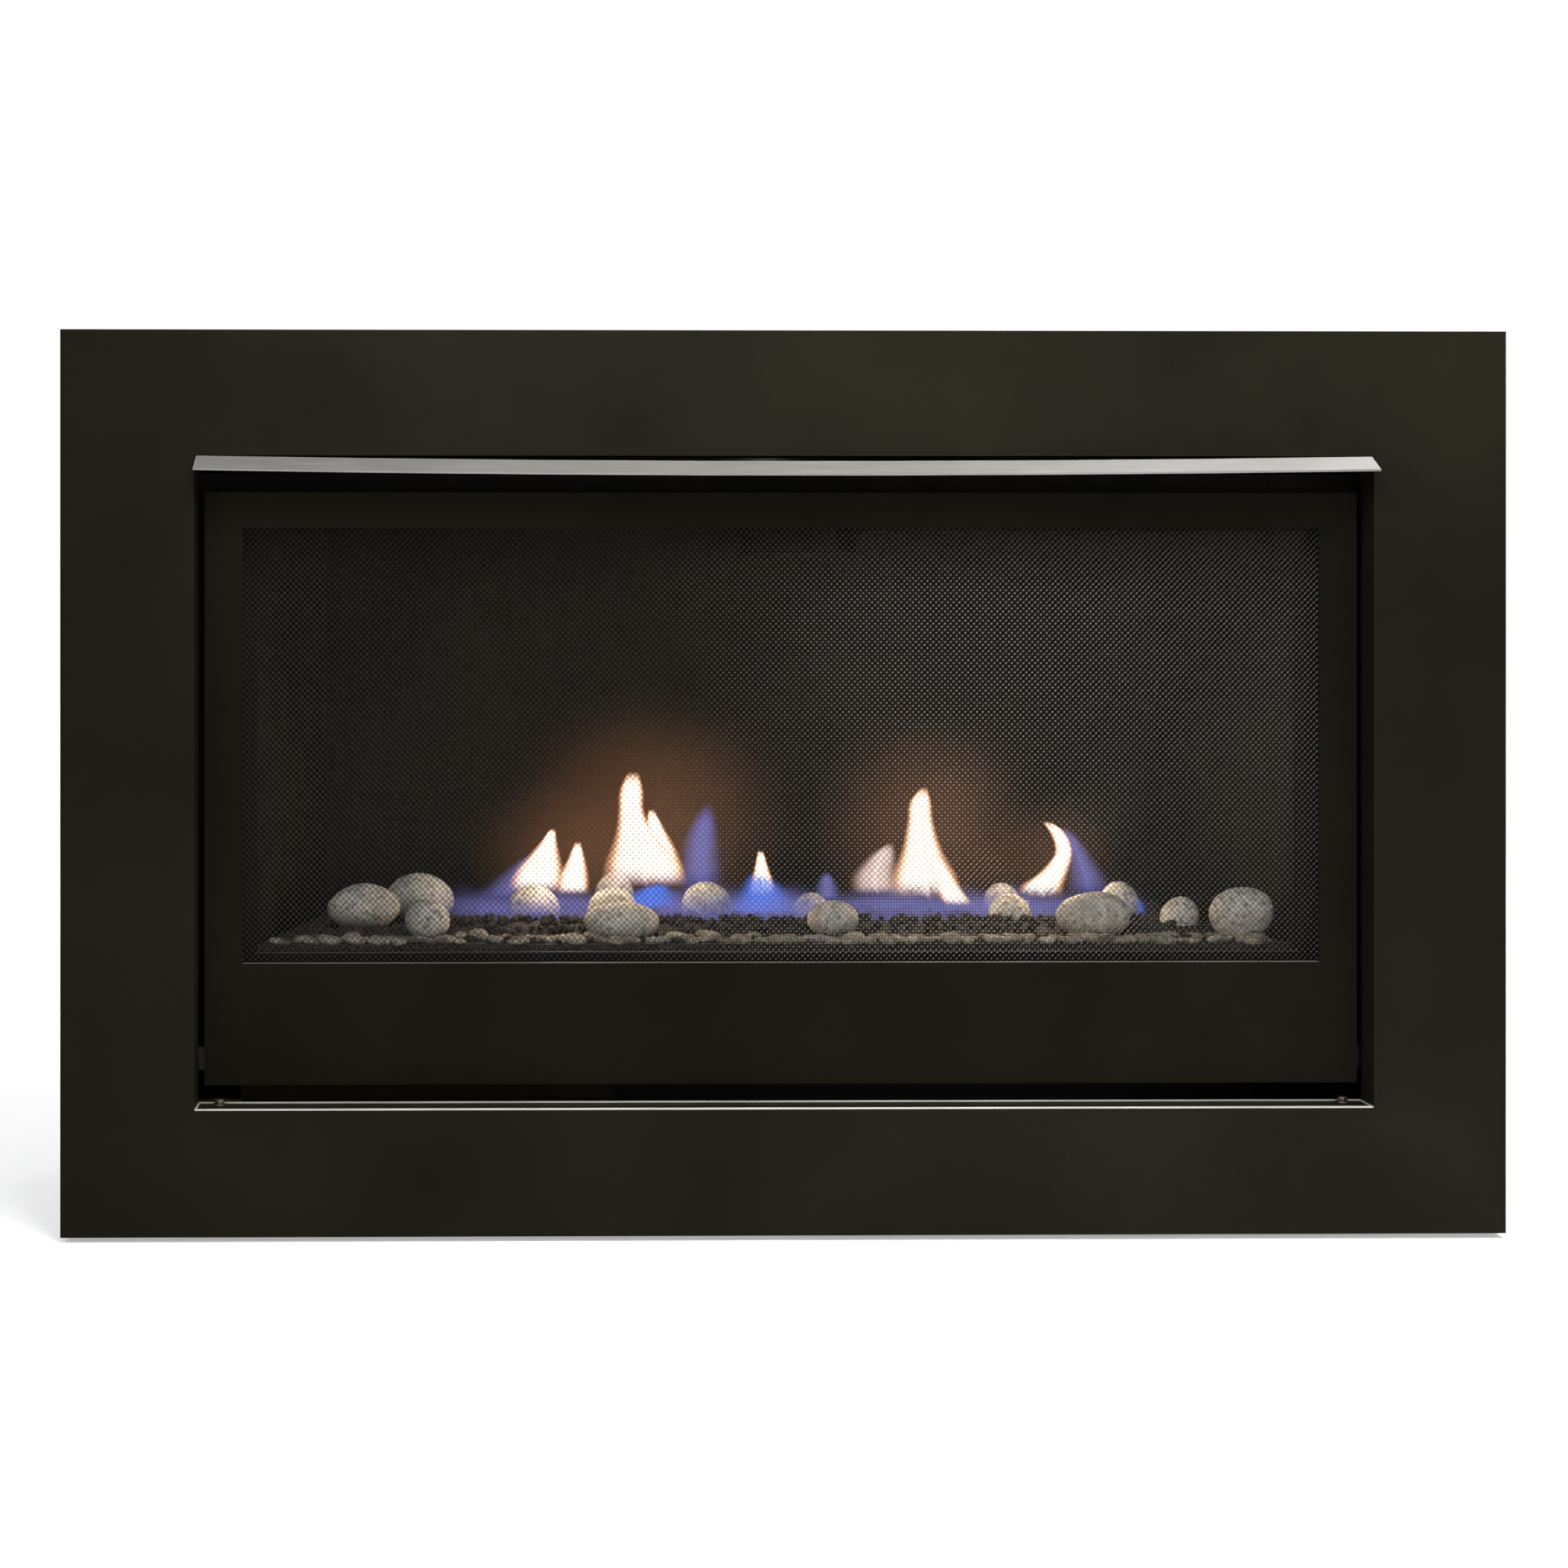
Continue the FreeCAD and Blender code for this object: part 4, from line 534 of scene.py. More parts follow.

# %% [markdown]
# ## Tools for new pieces
# New pieces begin as a primitive and are shaped by edit-mode operators, by modifiers or by moving their
# vertices. An operator works on everything that is selected, so each begin clears the selection first.
# A finished piece keeps its place in its mesh and rides on a body.


# %% Helpers for pieces
def select(pieces):
    """Select some pieces and nothing else, with the first as the active one."""
    bpy.ops.object.select_all(action="DESELECT")
    for piece in pieces:
        piece.select_set(True)
    bpy.context.view_layer.objects.active = pieces[0]


def settle(*pieces):
    """Move the place, turn and scale of pieces into their meshes."""
    select(pieces)
    bpy.ops.object.transform_apply(location=True, rotation=True, scale=True)


def begin(add, **settings):
    """Add a primitive while nothing else is selected, and settle it."""
    bpy.ops.object.select_all(action="DESELECT")
    add(**settings)
    settle(bpy.context.object)
    return bpy.context.object


def apply_modifier(piece, kind, **settings):
    """Add one modifier to a piece and apply it at once."""
    modifier = piece.modifiers.new(kind.lower(), kind)
    for key, value in settings.items():
        setattr(modifier, key, value)
    bpy.context.view_layer.objects.active = piece
    bpy.ops.object.modifier_apply(modifier=modifier.name)


def join(pieces, name):
    """Make one object of several."""
    select(pieces)
    bpy.ops.object.join()
    pieces[0].name = name
    return pieces[0]


def deliver(piece, finish, body, slot, *replaced, smooth=40):
    """Give a finished piece its material and its body, and hide the CAD nodes that it stands for."""
    settle(piece)
    bpy.ops.object.shade_smooth_by_angle(angle=math.radians(smooth))
    piece.data.materials.clear()
    piece.data.materials.append(finish.material)
    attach(piece, body)
    if replaced:
        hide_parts(*replaced)
    print(piece.name, "has", len(piece.data.polygons), "faces and rides on", body)


print("piece helpers ready")

# %% [markdown]
# ## Barrier mesh
# The barrier is screened by a fine black wire mesh whose wires run at about 45 degrees, so its gaps are
# small diamonds. A texture of holes would not let light through at a slant, so the wires are real: one
# long six-sided wire is leaned over, repeated along the window by an Array, and trimmed to the outline
# by four bisects. Two such rows, leaning left and right, cross each other.

# %% Barrier mesh
MESH_PERIOD = 0.0046
MESH_ROW_STEP = 0.0024
WIRE_RADIUS = 0.00027
WIRE_SIDES = 6
mesh_low, mesh_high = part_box("barrier_mesh")
mesh_middle = (mesh_low + mesh_high) / 2
mesh_height = mesh_high.z - mesh_low.z
wire_run = mesh_height * MESH_PERIOD / 2 / MESH_ROW_STEP
first_wire = mesh_low.x - wire_run / 2
wire_count = int((mesh_high.x - mesh_low.x + wire_run) / MESH_PERIOD) + 1
TRIMS = [(mesh_low, (-1, 0, 0)), (mesh_high, (1, 0, 0)), (mesh_low, (0, 0, -1)), (mesh_high, (0, 0, 1))]


def wire_row(lean, depth):
    """All wires that lean one way, trimmed to the mesh's outline."""
    wires = begin(
        bpy.ops.mesh.primitive_cylinder_add, vertices=WIRE_SIDES, radius=WIRE_RADIUS,
        depth=2 * math.hypot(mesh_height, wire_run), location=(first_wire, depth, mesh_middle.z),
        rotation=(0, lean * math.atan2(wire_run, mesh_height), 0))
    apply_modifier(wires, "ARRAY", count=wire_count, use_relative_offset=False, use_constant_offset=True,
                   constant_offset_displace=(MESH_PERIOD, 0, 0))
    bpy.ops.object.mode_set(mode="EDIT")
    for place, outward in TRIMS:
        bpy.ops.mesh.select_all(action="SELECT")
        bpy.ops.mesh.bisect(plane_co=place, plane_no=outward, clear_outer=True, use_fill=True)
    bpy.ops.object.mode_set(mode="OBJECT")
    return wires


wire_rows = [wire_row(1, mesh_middle.y - WIRE_RADIUS / 2), wire_row(-1, mesh_middle.y + WIRE_RADIUS / 2)]
barrier_wires = join(wire_rows, "barrier_wires")
print("wires each way:", wire_count)

# %% [markdown]
# The wires are blackened, and painted a light metal colour where they cross: painted highlights that
# stand in for the glints of a woven mesh, so a lamp that the mesh mirrors shows as a field of small dots.
# Crossings lie on a lattice, and the product of two cosines peaks at each of its points. The painted
# highlights are stronger on the right half than on the left, where more light falls, with a cloudy border
# between them, and they fall off again towards the far right and the top.

# %% Mesh finish
LEFT_GLINT, RIGHT_GLINT, TOP_GLINT = 0.12, 0.32, 0.15
# where each change of the painted highlights starts and ends, along X or Z
GLINT_BORDER, GLINT_FAR_RIGHT, GLINT_TOP = (0.04, 0.24), (0.10, 0.32), (0.50, 0.55)
GLINT_CLOUD = 0.3
# how near a crossing a dot starts and is full
DOT_RIM = (0.6, 0.85)
coat = Finish("mesh_black", specular=0.15)
axes = coat.axes()


def wave_along(axis, start, step):
    turns = coat.math("MULTIPLY", coat.math("SUBTRACT", axes[axis], start), math.tau / step)
    return coat.math("COSINE", turns, 0.0)


lattice = coat.math("MULTIPLY", wave_along("X", first_wire, MESH_PERIOD),
                    wave_along("Z", mesh_middle.z, 2 * MESH_ROW_STEP))
cloud = coat.math("MULTIPLY", coat.noise(7.0), GLINT_CLOUD)
# painted highlights: the dots grow from the left half to the right half, and fade at the far right and the
# top
half = coat.span(coat.math("ADD", axes["X"], cloud), LEFT_GLINT, 1.0, *GLINT_BORDER)
far_right = coat.span(axes["X"], 1.0, RIGHT_GLINT, *GLINT_FAR_RIGHT)
near_top = coat.span(axes["Z"], 1.0, TOP_GLINT, *GLINT_TOP)
painted_glints = coat.math("MULTIPLY", coat.span(lattice, 0.0, 1.0, *DOT_RIM),
                   coat.math("MULTIPLY", half, coat.math("MULTIPLY", far_right, near_top)))
# the crossings take a light metal colour: painted highlights on the black wires
coat.colour(coat.mix(painted_glints, tint(12, 11, 8), tint(146, 144, 138)))
coat.feed(coat.shader, {"Metallic": painted_glints})
coat.rough(coat.noise(300.0), 0.26, 0.34)
coat.bump(coat.noise(2500.0, detail=1.0), 0.1, 0.0001)
deliver(barrier_wires, coat, "barrier", "mesh_black", "barrier_mesh")

# %% [markdown]
# ## Beach stones
# Each stone is a tumbled oval of its own size. A ball is squashed to the stone's three sizes, turned,
# and pushed in and out by a cloud texture in world space, so no two come out alike. They lie where the
# CAD stones lie: as shares of the tray's half width and depth, from its front.

# %% Beach stones
STONE_LENGTH, STONE_WIDTH, STONE_HEIGHT = 0.062, 0.046, 0.046
STONE_SINK, STONE_TUMBLE = 0.002, 0.006
TRAY_FRONT_HALF = 0.4209
tray_low, tray_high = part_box("burner_tray")
bed_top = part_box("ember_bed")[1].z
# across, deep, length, width, height as shares, and the turn in degrees
STONES = [
    (-0.80, 0.42, 1.00, 0.95, 0.85, 10), (-0.69, 0.60, 0.94, 0.90, 1.00, -8),
    (-0.67, 0.14, 0.60, 0.72, 0.78, 0), (-0.46, 0.45, 0.74, 0.80, 0.82, 12),
    (-0.29, 0.15, 0.98, 0.95, 0.70, 0), (-0.30, 0.33, 0.63, 0.70, 0.85, 0),
    (-0.29, 0.58, 0.52, 0.60, 0.98, -15), (-0.11, 0.46, 0.71, 0.80, 0.91, 8),
    (0.10, 0.41, 0.53, 0.62, 0.72, 0), (0.12, 0.16, 0.69, 0.80, 0.72, -8),
    (0.49, 0.33, 0.61, 0.70, 0.76, 5), (0.51, 0.62, 0.50, 0.60, 0.80, 0),
    (0.63, 0.17, 1.00, 0.95, 0.85, 5), (0.72, 0.41, 0.57, 0.65, 0.91, 0),
    (0.82, 0.27, 0.52, 0.66, 0.76, 0), (0.92, 0.125, 0.85, 0.82, 0.96, 3),
]
tumble = bpy.data.textures.new("tumble", "CLOUDS")
tumble.noise_scale = 0.045
tumble.noise_depth = 0


def beach_pebble(across, deep, length, width, height, turn):
    rise = height * STONE_HEIGHT / 2
    y = tray_low.y + deep * (tray_high.y - tray_low.y)
    place = (across * TRAY_FRONT_HALF, y, bed_top + rise - STONE_SINK)
    halves = (length * STONE_LENGTH / 2, width * STONE_WIDTH / 2, rise)
    stone = begin(bpy.ops.mesh.primitive_ico_sphere_add, subdivisions=5, radius=1, location=place,
                  rotation=(0, 0, math.radians(turn)), scale=halves)
    apply_modifier(stone, "DISPLACE", texture=tumble, texture_coords="GLOBAL",
                   strength=STONE_TUMBLE, mid_level=0.5)
    return stone


stones = [beach_pebble(*facts) for facts in STONES]
deliver(join(stones, "beach_stones"), beach_stone, "chassis", "beach_stone", "pebbles", smooth=180)

# %% [markdown]
# ## Shape of the bed
# Dark granules are heaped over the burner, in a low mound that meets the bed at its rim. Its height comes
# from the distance to the nearest rim, eased so that there is no crease. The tray narrows towards the
# back, and so does what lies in it.

# %% Shape of the bed
HEAP_HEIGHT = 0.011
HEAP_SLOPE = 0.035
HEAP_LEFT, HEAP_RIGHT = -0.30, 0.38
HEAP_FRONT_GAP, RIM = 0.028, 0.012
TAPER = 0.177
bed_low, bed_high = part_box("ember_bed")
heap_front, heap_back = bed_low.y + HEAP_FRONT_GAP, bed_high.y - RIM


def fade(value):
    """An ease from 0 to 1."""
    value = min(max(value, 0.0), 1.0)
    return value * value * (3 - 2 * value)


def reach_at(y):
    """Half the tray's width at a depth, less its rim: the tray narrows towards the back."""
    return TRAY_FRONT_HALF - RIM - TAPER * (y - tray_low.y)


def heap_level(x, y):
    """How high the heaped granules stand over the bed."""
    edge = min(y - heap_front, heap_back - y, x - HEAP_LEFT, HEAP_RIGHT - x)
    return HEAP_HEIGHT * fade(edge / HEAP_SLOPE)


print("heap from y =", round(heap_front, 4), "to", round(heap_back, 4))

# %% [markdown]
# ## Lumps
# Chips and granules are each one lump, modelled once and copied many times with a new turn and size. A
# seeded random source keeps every run the same.

# %% Helpers for lumps
scatter = random.Random(7)


def lump(detail, strength):
    """One lump of unit size, at the origin."""
    piece = begin(bpy.ops.mesh.primitive_ico_sphere_add, subdivisions=detail, radius=0.5)
    crush = bpy.data.textures.new("crush", "CLOUDS")
    crush.noise_scale = 0.6
    apply_modifier(piece, "DISPLACE", texture=crush, texture_coords="LOCAL", strength=strength, mid_level=0.5)
    return piece


def strew(original, places, name):
    """Copy a lump, each copy with its own mesh, to places given as centre, three sizes and turn."""
    copies = []
    for centre, sizes, turn in places:
        copy = original.copy()
        copy.data = original.data.copy()
        copy.location, copy.scale, copy.rotation_euler = centre, sizes, turn
        scene.collection.objects.link(copy)
        copies.append(copy)
    bpy.data.objects.remove(original)
    settle(*copies)
    return join(copies, name)


def any_turn(lean):
    return (scatter.uniform(-lean, lean), scatter.uniform(-lean, lean), scatter.uniform(0, math.tau))


print("lump helpers ready")

# %% [markdown]
# ## Gravel chips
# Flat smooth chips lie along the front of the bed, most of them close to its edge.

# %% Gravel chips
GRAVEL_COUNT = 120
# the gap at the tray's ends, the pull to the front, the play along the row and the lean of the chips
CHIP_GAP, CHIP_PULL, CHIP_PLAY, CHIP_LEAN = 0.004, 1.5, (0.1, 0.9), 0.2
CHIP_LENGTHS = (0.013, 0.024)
# widths and heights as shares of the length, and the lift of the middle as a share of the height
CHIP_WIDTHS, CHIP_HEIGHTS, CHIP_LIFT = (0.6, 0.85), (0.32, 0.45), 0.3
chip_low, chip_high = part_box("gravel_chips")

gravel_places = []
for index in range(GRAVEL_COUNT):
    long_side = scatter.uniform(*CHIP_LENGTHS)
    sizes = (long_side, long_side * scatter.uniform(*CHIP_WIDTHS), long_side * scatter.uniform(*CHIP_HEIGHTS))
    y = chip_low.y + (chip_high.y - chip_low.y) * scatter.random() ** CHIP_PULL
    reach = reach_at(y) - CHIP_GAP
    x = reach * (2 * (index + scatter.uniform(*CHIP_PLAY)) / GRAVEL_COUNT - 1)
    level = bed_top + heap_level(x, y) + sizes[2] * CHIP_LIFT
    gravel_places.append(((x, y, level), sizes, any_turn(CHIP_LEAN)))
gravel = strew(lump(detail=3, strength=0.2), gravel_places, "gravel")
deliver(gravel, gravel_stone, "chassis", "gravel", "gravel_chips", smooth=180)

# %% [markdown]
# ## Ember granules
# The heap itself is a grid raised to the mound, and granules are strewn over it and the bed. They stay
# few-sided, for the facets of broken stone.

# %% Ember granules
GRANULE_COUNT = 2600
HEAP_COLUMNS, HEAP_ROWS, HEAP_SINK = 120, 40, 0.001
GRANULE_FRONT_GAP, GRANULE_LEAN, GRANULE_LENGTHS = 0.006, 1.0, (0.005, 0.010)
# widths, heights and the lift of the middle as shares of the length
GRANULE_WIDTHS, GRANULE_HEIGHTS, GRANULE_LIFT = (0.7, 1.0), (0.6, 0.9), 0.15

heap = begin(bpy.ops.mesh.primitive_grid_add, x_subdivisions=HEAP_COLUMNS, y_subdivisions=HEAP_ROWS, size=2)
for vertex in heap.data.vertices:
    y = heap_front + (heap_back - heap_front) * (vertex.co.y + 1) / 2
    x = reach_at(y) * vertex.co.x
    vertex.co = (x, y, bed_top - HEAP_SINK + heap_level(x, y))
granule_places = []
for index in range(GRANULE_COUNT):
    size = scatter.uniform(*GRANULE_LENGTHS)
    y = scatter.uniform(bed_low.y + GRANULE_FRONT_GAP, heap_back)
    x = scatter.uniform(-1, 1) * reach_at(y)
    sizes = (size, size * scatter.uniform(*GRANULE_WIDTHS), size * scatter.uniform(*GRANULE_HEIGHTS))
    level = bed_top + heap_level(x, y) + size * GRANULE_LIFT
    granule_places.append(((x, y, level), sizes, any_turn(GRANULE_LEAN)))
granules = strew(lump(detail=1, strength=0.4), granule_places, "ember_granules")
deliver(join([granules, heap], "ember_granules"), ember_grain, "chassis", "ember_media", smooth=20)

# %% [markdown]
# ## Places on the picture
# The shapes of the flames follow the photograph: each has a spine, given in picture pixels, and is laid on
# an upright plane at or near the burner. A ray from the camera through a pixel finds the point on that
# plane, and a smooth curve runs through the points of the spine.

# %% Places on the picture
PHOTO_SIZE = 1932
burner_low, burner_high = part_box("burner_tube")
burner_line = (burner_low.y + burner_high.y) / 2


def on_photo(across, down, depth):
    """The point at a depth that the camera sees at a pixel of the picture."""
    view = Vector((
        (across / PHOTO_SIZE - 0.5 + CAMERA_SHIFT[0]) * SENSOR_WIDTH / CAMERA_LENS,
        (0.5 - down / PHOTO_SIZE + CAMERA_SHIFT[1]) * SENSOR_WIDTH / CAMERA_LENS,
        -1.0))
    ray = camera.rotation_euler.to_matrix() @ view
    eye = Vector(CAMERA_PLACE)
    return eye + ray * ((depth - eye.y) / ray.y)


def along_spine(spine, share):
    """The pixel place and half width at a share of a flame's spine, from root to tip, on a smooth line."""
    spot = share * (len(spine) - 1)
    index = min(int(spot), len(spine) - 2)
    part = spot - index
    before = spine[max(index - 1, 0)]
    start, end = spine[index], spine[index + 1]
    after = spine[min(index + 2, len(spine) - 1)]
    return [0.5 * (2 * b + (c - a) * part + (2 * a - 5 * b + 4 * c - d) * part ** 2
                   + (3 * b - a - 3 * c + d) * part ** 3)
            for a, b, c, d in zip(before, start, end, after)]


print("flames stand on the burner line y =", round(burner_line, 4))

# %% [markdown]
# ## Flames
# Flames have no skin, so each is a thin sheet whose edges fade to nothing: a grid is shaped row by row
# along the flame's spine, and a colour attribute stores the colours of its core, edge and root. The
# attribute belongs to the mesh, so it looks the same from every side and survives an export. Every flame
# has a second sheet at a right angle, for views from the side.

# %% Flame sheets
FLAME_COLUMNS = 12
FLAME_ROWS = 28
FLAME_SPREAD = 1.2
# how fast a flame's heart, tip and root turn into their colours
HEART_FADE, TIP_FADE, ROOT_FADE = 1.7, 4, 5


def glow_grid(columns, rows):
    """A flat grid, and the attribute that stores the colours of its glow."""
    sheet = begin(bpy.ops.mesh.primitive_grid_add, x_subdivisions=columns, y_subdivisions=rows, size=2)
    return sheet, sheet.data.color_attributes.new("glow", "FLOAT_COLOR", "POINT")


def flame_sheet(spine, depth, colours, strength, sideways):
    """One sheet of a flame, across the view or at a right angle to it."""
    sheet, glow = glow_grid(FLAME_COLUMNS, FLAME_ROWS)
    core, edge, root, crisp = colours
    for vertex in sheet.data.vertices:
        side, share = vertex.co.x, (vertex.co.y + 1) / 2
        across, down, half = along_spine(spine, share)
        middle = on_photo(across, down, depth)
        width = (on_photo(across + max(half * FLAME_SPREAD, 0.5), down, depth) - middle).x * side
        vertex.co = middle + (Vector((0, width, 0)) if sideways else Vector((width, 0, 0)))
        inner = 1 - abs(side)
        heart = fade(inner * HEART_FADE) * fade((1.05 - share) * TIP_FADE)
        warm = fade(share * ROOT_FADE)
        colour = [edge[i] + (core[i] - edge[i]) * heart for i in range(3)]
        colour = [root[i] + (colour[i] - root[i]) * warm for i in range(3)]
        body = fade(inner * crisp) * fade((1 - share) * crisp * 3) * fade(0.15 + share * 4)
        glow.data[vertex.index].color = (*colour, body * strength)
    return sheet


print("a flame sheet has", FLAME_COLUMNS * FLAME_ROWS, "faces")

# %% [markdown]
# One finish serves all flames. It glows with the stored colours, is see-through where they fade, and a
# faint noise makes it uneven.

# %% Flame finish
FLAME_POWER = 2.8


def flame_light(name, power):
    """A finish that glows with the colours of the attribute and is see-through where it fades."""
    finish = Finish(name, specular=0.0)
    paint = finish.nodes.new("ShaderNodeVertexColor")
    paint.layer_name = "glow"
    flicker = finish.span(finish.noise(90.0, detail=2.0), 0.86, 1.0)
    alpha = finish.math("MULTIPLY", paint.outputs["Alpha"], flicker)
    finish.feed(finish.shader, {"Base Color": (0, 0, 0, 1), "Roughness": 1.0, "Alpha": alpha})
    finish.feed(finish.shader, {"Emission Color": paint.outputs["Color"], "Emission Strength": power})
    return finish


flame_glow = flame_light("gas_flame", FLAME_POWER)
print("flame power:", FLAME_POWER)

# %% [markdown]
# The photograph shows warm white flames, a soft rosy one, and blue and violet ones between and around
# them. Each kind has its three colours, and an edge that is more or less crisp.

# %% Flames
WHITE, PEACH = (1.0, 0.93, 0.80), (1.0, 0.42, 0.17)
ROSE, PALE_ROSE = (0.40, 0.22, 0.18), (0.55, 0.42, 0.38)
VIOLET, BRIGHT_BLUE, DEEP_BLUE = (0.09, 0.088, 0.25), (0.045, 0.12, 0.52), (0.03, 0.05, 0.31)
# core, edge and root colours, and how crisp the edge is
WARM = (WHITE, PEACH, (0.45, 0.28, 0.34), 2.4)
SOFT = (PALE_ROSE, ROSE, (0.20, 0.16, 0.28), 1.5)
COLD = (VIOLET, (0.10, 0.09, 0.20), DEEP_BLUE, 1.1)
BLUE = (BRIGHT_BLUE, (0.04, 0.07, 0.30), DEEP_BLUE, 1.3)
# each flame: its colours, how solid it is, how far behind the burner it stands, and its spine from root
# to tip as pixels across, pixels down and half widths
FLAMES = {
    "left": (WARM, 0.95, 0.0, [
        (660, 1100, 30), (664, 1076, 27), (672, 1050, 15), (677, 1035, 8), (681, 1021, 3)]),
    "left_small": (WARM, 0.95, -0.01, [
        (706, 1102, 17), (707, 1080, 16), (710, 1060, 10), (712, 1037, 3)]),
    "tall_left": (WARM, 1.0, 0.0, [
        (795, 1092, 46), (792, 1064, 40), (784, 1030, 23), (778, 1000, 14), (778, 975, 13),
        (780, 951, 6)]),
    "tall_left_peak": (WARM, 0.9, 0.012, [
        (815, 1088, 28), (813, 1052, 20), (807, 1020, 10), (802, 997, 3)]),
    "middle_small": (WARM, 0.9, -0.01, [
        (939, 1104, 14), (939, 1086, 12), (938, 1066, 7), (937, 1048, 3)]),
    "tall_right": (WARM, 1.0, 0.0, [
        (1140, 1106, 38), (1139, 1080, 35), (1136, 1048, 22), (1134, 1012, 14), (1134, 990, 12),
        (1138, 970, 4)]),
    "tall_right_tail": (WARM, 0.85, -0.012, [
        (1182, 1116, 16), (1170, 1096, 14), (1158, 1072, 10), (1150, 1050, 4)]),
    "soft_rose": (SOFT, 0.75, 0.015, [
        (1080, 1102, 28), (1078, 1080, 26), (1086, 1058, 17), (1097, 1038, 4)]),
    "hook": (WARM, 0.95, 0.0, [
        (1283, 1106, 24), (1284, 1092, 23), (1299, 1074, 15), (1310, 1053, 10), (1308, 1036, 9),
        (1300, 1022, 8), (1288, 1012, 4)]),
    "blue_left": (COLD, 0.95, 0.02, [
        (862, 1100, 28), (863, 1062, 24), (864, 1034, 21), (868, 1012, 15), (872, 988, 6)]),
    "blue_right": (COLD, 0.75, 0.02, [
        (1342, 1104, 28), (1338, 1078, 22), (1328, 1052, 15), (1318, 1030, 8), (1310, 1018, 3)]),
    "blue_end": (BLUE, 0.6, -0.02, [
        (1404, 1126, 10), (1398, 1112, 10), (1391, 1100, 6), (1385, 1092, 2)]),
    "blue_middle": (BLUE, 0.95, -0.015, [
        (940, 1130, 46), (941, 1112, 40), (939, 1094, 26), (932, 1074, 9)]),
    "blue_root": (BLUE, 0.85, -0.022, [
        (800, 1120, 36), (802, 1108, 34), (806, 1098, 24), (812, 1088, 9)]),
    "violet_rise": (COLD, 0.6, 0.028, [
        (622, 1108, 34), (628, 1090, 27), (642, 1070, 16), (656, 1050, 5)]),
    "blue_small": (COLD, 0.8, 0.01, [
        (1020, 1108, 16), (1019, 1092, 14), (1018, 1074, 4)]),
}
sheets = []
for colours, solid, behind, spine in FLAMES.values():
    for sideways in (False, True):
        sheets.append(flame_sheet(spine, burner_line + behind, colours, solid, sideways))
deliver(join(sheets, "flames"), flame_glow, "chassis", "glass", smooth=180)

# %% [markdown]
# Along the whole burner the gas burns low and blue. Three long sheets, one behind the other, carry this:
# their tops rise and fall in slow waves, and they fade out upwards, downwards and at both ends.

# %% Blue flames along the burner
LOW_START, LOW_END, LOW_ROOT, LOW_TOP = 520, 1425, 1146, 1082
LOW_DEPTHS = (-0.035, 0.0, 0.035)
LOW_SOLID, LOW_RIPPLE = 0.72, 26
LOW_SLOW_WAVE, LOW_QUICK_WAVE, LOW_PHASE = 17, 41, 1.7
LOW_GRID = (120, 12)


def low_flame(depth, phase):
    sheet, glow = glow_grid(*LOW_GRID)
    for vertex in sheet.data.vertices:
        along, share = (vertex.co.x + 1) / 2, (vertex.co.y + 1) / 2
        slow, quick = math.sin(LOW_SLOW_WAVE * along + phase), math.sin(LOW_QUICK_WAVE * along + 2 * phase)
        wave = 0.5 + 0.25 * slow + 0.25 * quick
        across = LOW_START + (LOW_END - LOW_START) * along
        down = LOW_ROOT + (LOW_TOP + LOW_RIPPLE * (1 - wave) - LOW_ROOT) * share
        vertex.co = on_photo(across, down, burner_line + depth)
        ends = fade(along * 8) * fade((1 - along) * 8)
        solid = LOW_SOLID * ends * fade(share * 3) * fade((1 - share) * 1.6) * (0.55 + 0.45 * wave)
        glow.data[vertex.index].color = (*VIOLET, solid)
    return sheet


low_flames = [low_flame(depth, LOW_PHASE * index) for index, depth in enumerate(LOW_DEPTHS)]
deliver(join(low_flames, "low_flames"), flame_glow, "chassis", "glass", smooth=180)

# %% [markdown]
# ## Glow
# Burning gas lights the stones and warms the wall behind it. Small warm lamps stand before the larger
# flames, and behind each of these a wide faint glowing sheet is a painted halo of their light, a brown haze.

# %% Glow
# each halo: middle, half width and half height in pixels, and how solid
HALOS = {"left": (690, 1050, 130, 100, 0.034), "tall_left": (800, 1010, 190, 170, 0.055),
         "tall_right": (1140, 1020, 150, 160, 0.045), "hook": (1290, 1060, 100, 90, 0.034)}
HALO_SETBACK, HALO_STEP, HALO_GRID = 0.045, 0.006, (20, 20)
GLOW_COLOUR = (1.0, 0.72, 0.48)
GLOW_POWER, GLOW_SIZE, GLOW_FORWARD = 0.32, 0.03, 0.03


def halo_sheet(across, down, half, tall, strength, depth):
    """A round faint glowing sheet that fades from its middle: a painted halo of the flames' light."""
    sheet, glow = glow_grid(*HALO_GRID)
    for vertex in sheet.data.vertices:
        side, rise = vertex.co.x, vertex.co.y
        vertex.co = on_photo(across + side * half, down - rise * tall, depth)
        glow.data[vertex.index].color = (*PEACH, strength * fade(1 - math.hypot(side, rise)))
    return sheet


# painted light: a faint glowing sheet behind each large flame, for the halo of its light
halos = []
for index, (name, facts) in enumerate(HALOS.items()):
    halos.append(halo_sheet(*facts, burner_line + HALO_SETBACK + HALO_STEP * index))
    place = on_photo(facts[0], facts[1], burner_line - GLOW_FORWARD)
    lamp = hang_lamp(name + "_lamp", "POINT", place, GLOW_POWER)
    lamp.data.color = GLOW_COLOUR
    lamp.data.shadow_soft_size = GLOW_SIZE
deliver(join(halos, "painted_flame_halo"), flame_glow, "chassis", "glass", smooth=180)

# %% [markdown]
# ## Bright edges, painted highlights
# The opening's lower return shows two thin bright lines, its front and its rear edge, with short ones
# between their ends: highlights on its bends, painted as light satin metal. Each is a slim bar: a
# stretched cube with its edges bevelled.

# %% Bright edges
EDGE_HEIGHT, EDGE_DEPTH = 0.0016, 0.0016
EDGE_ROUNDING = 0.35
surround_low, surround_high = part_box("surround")
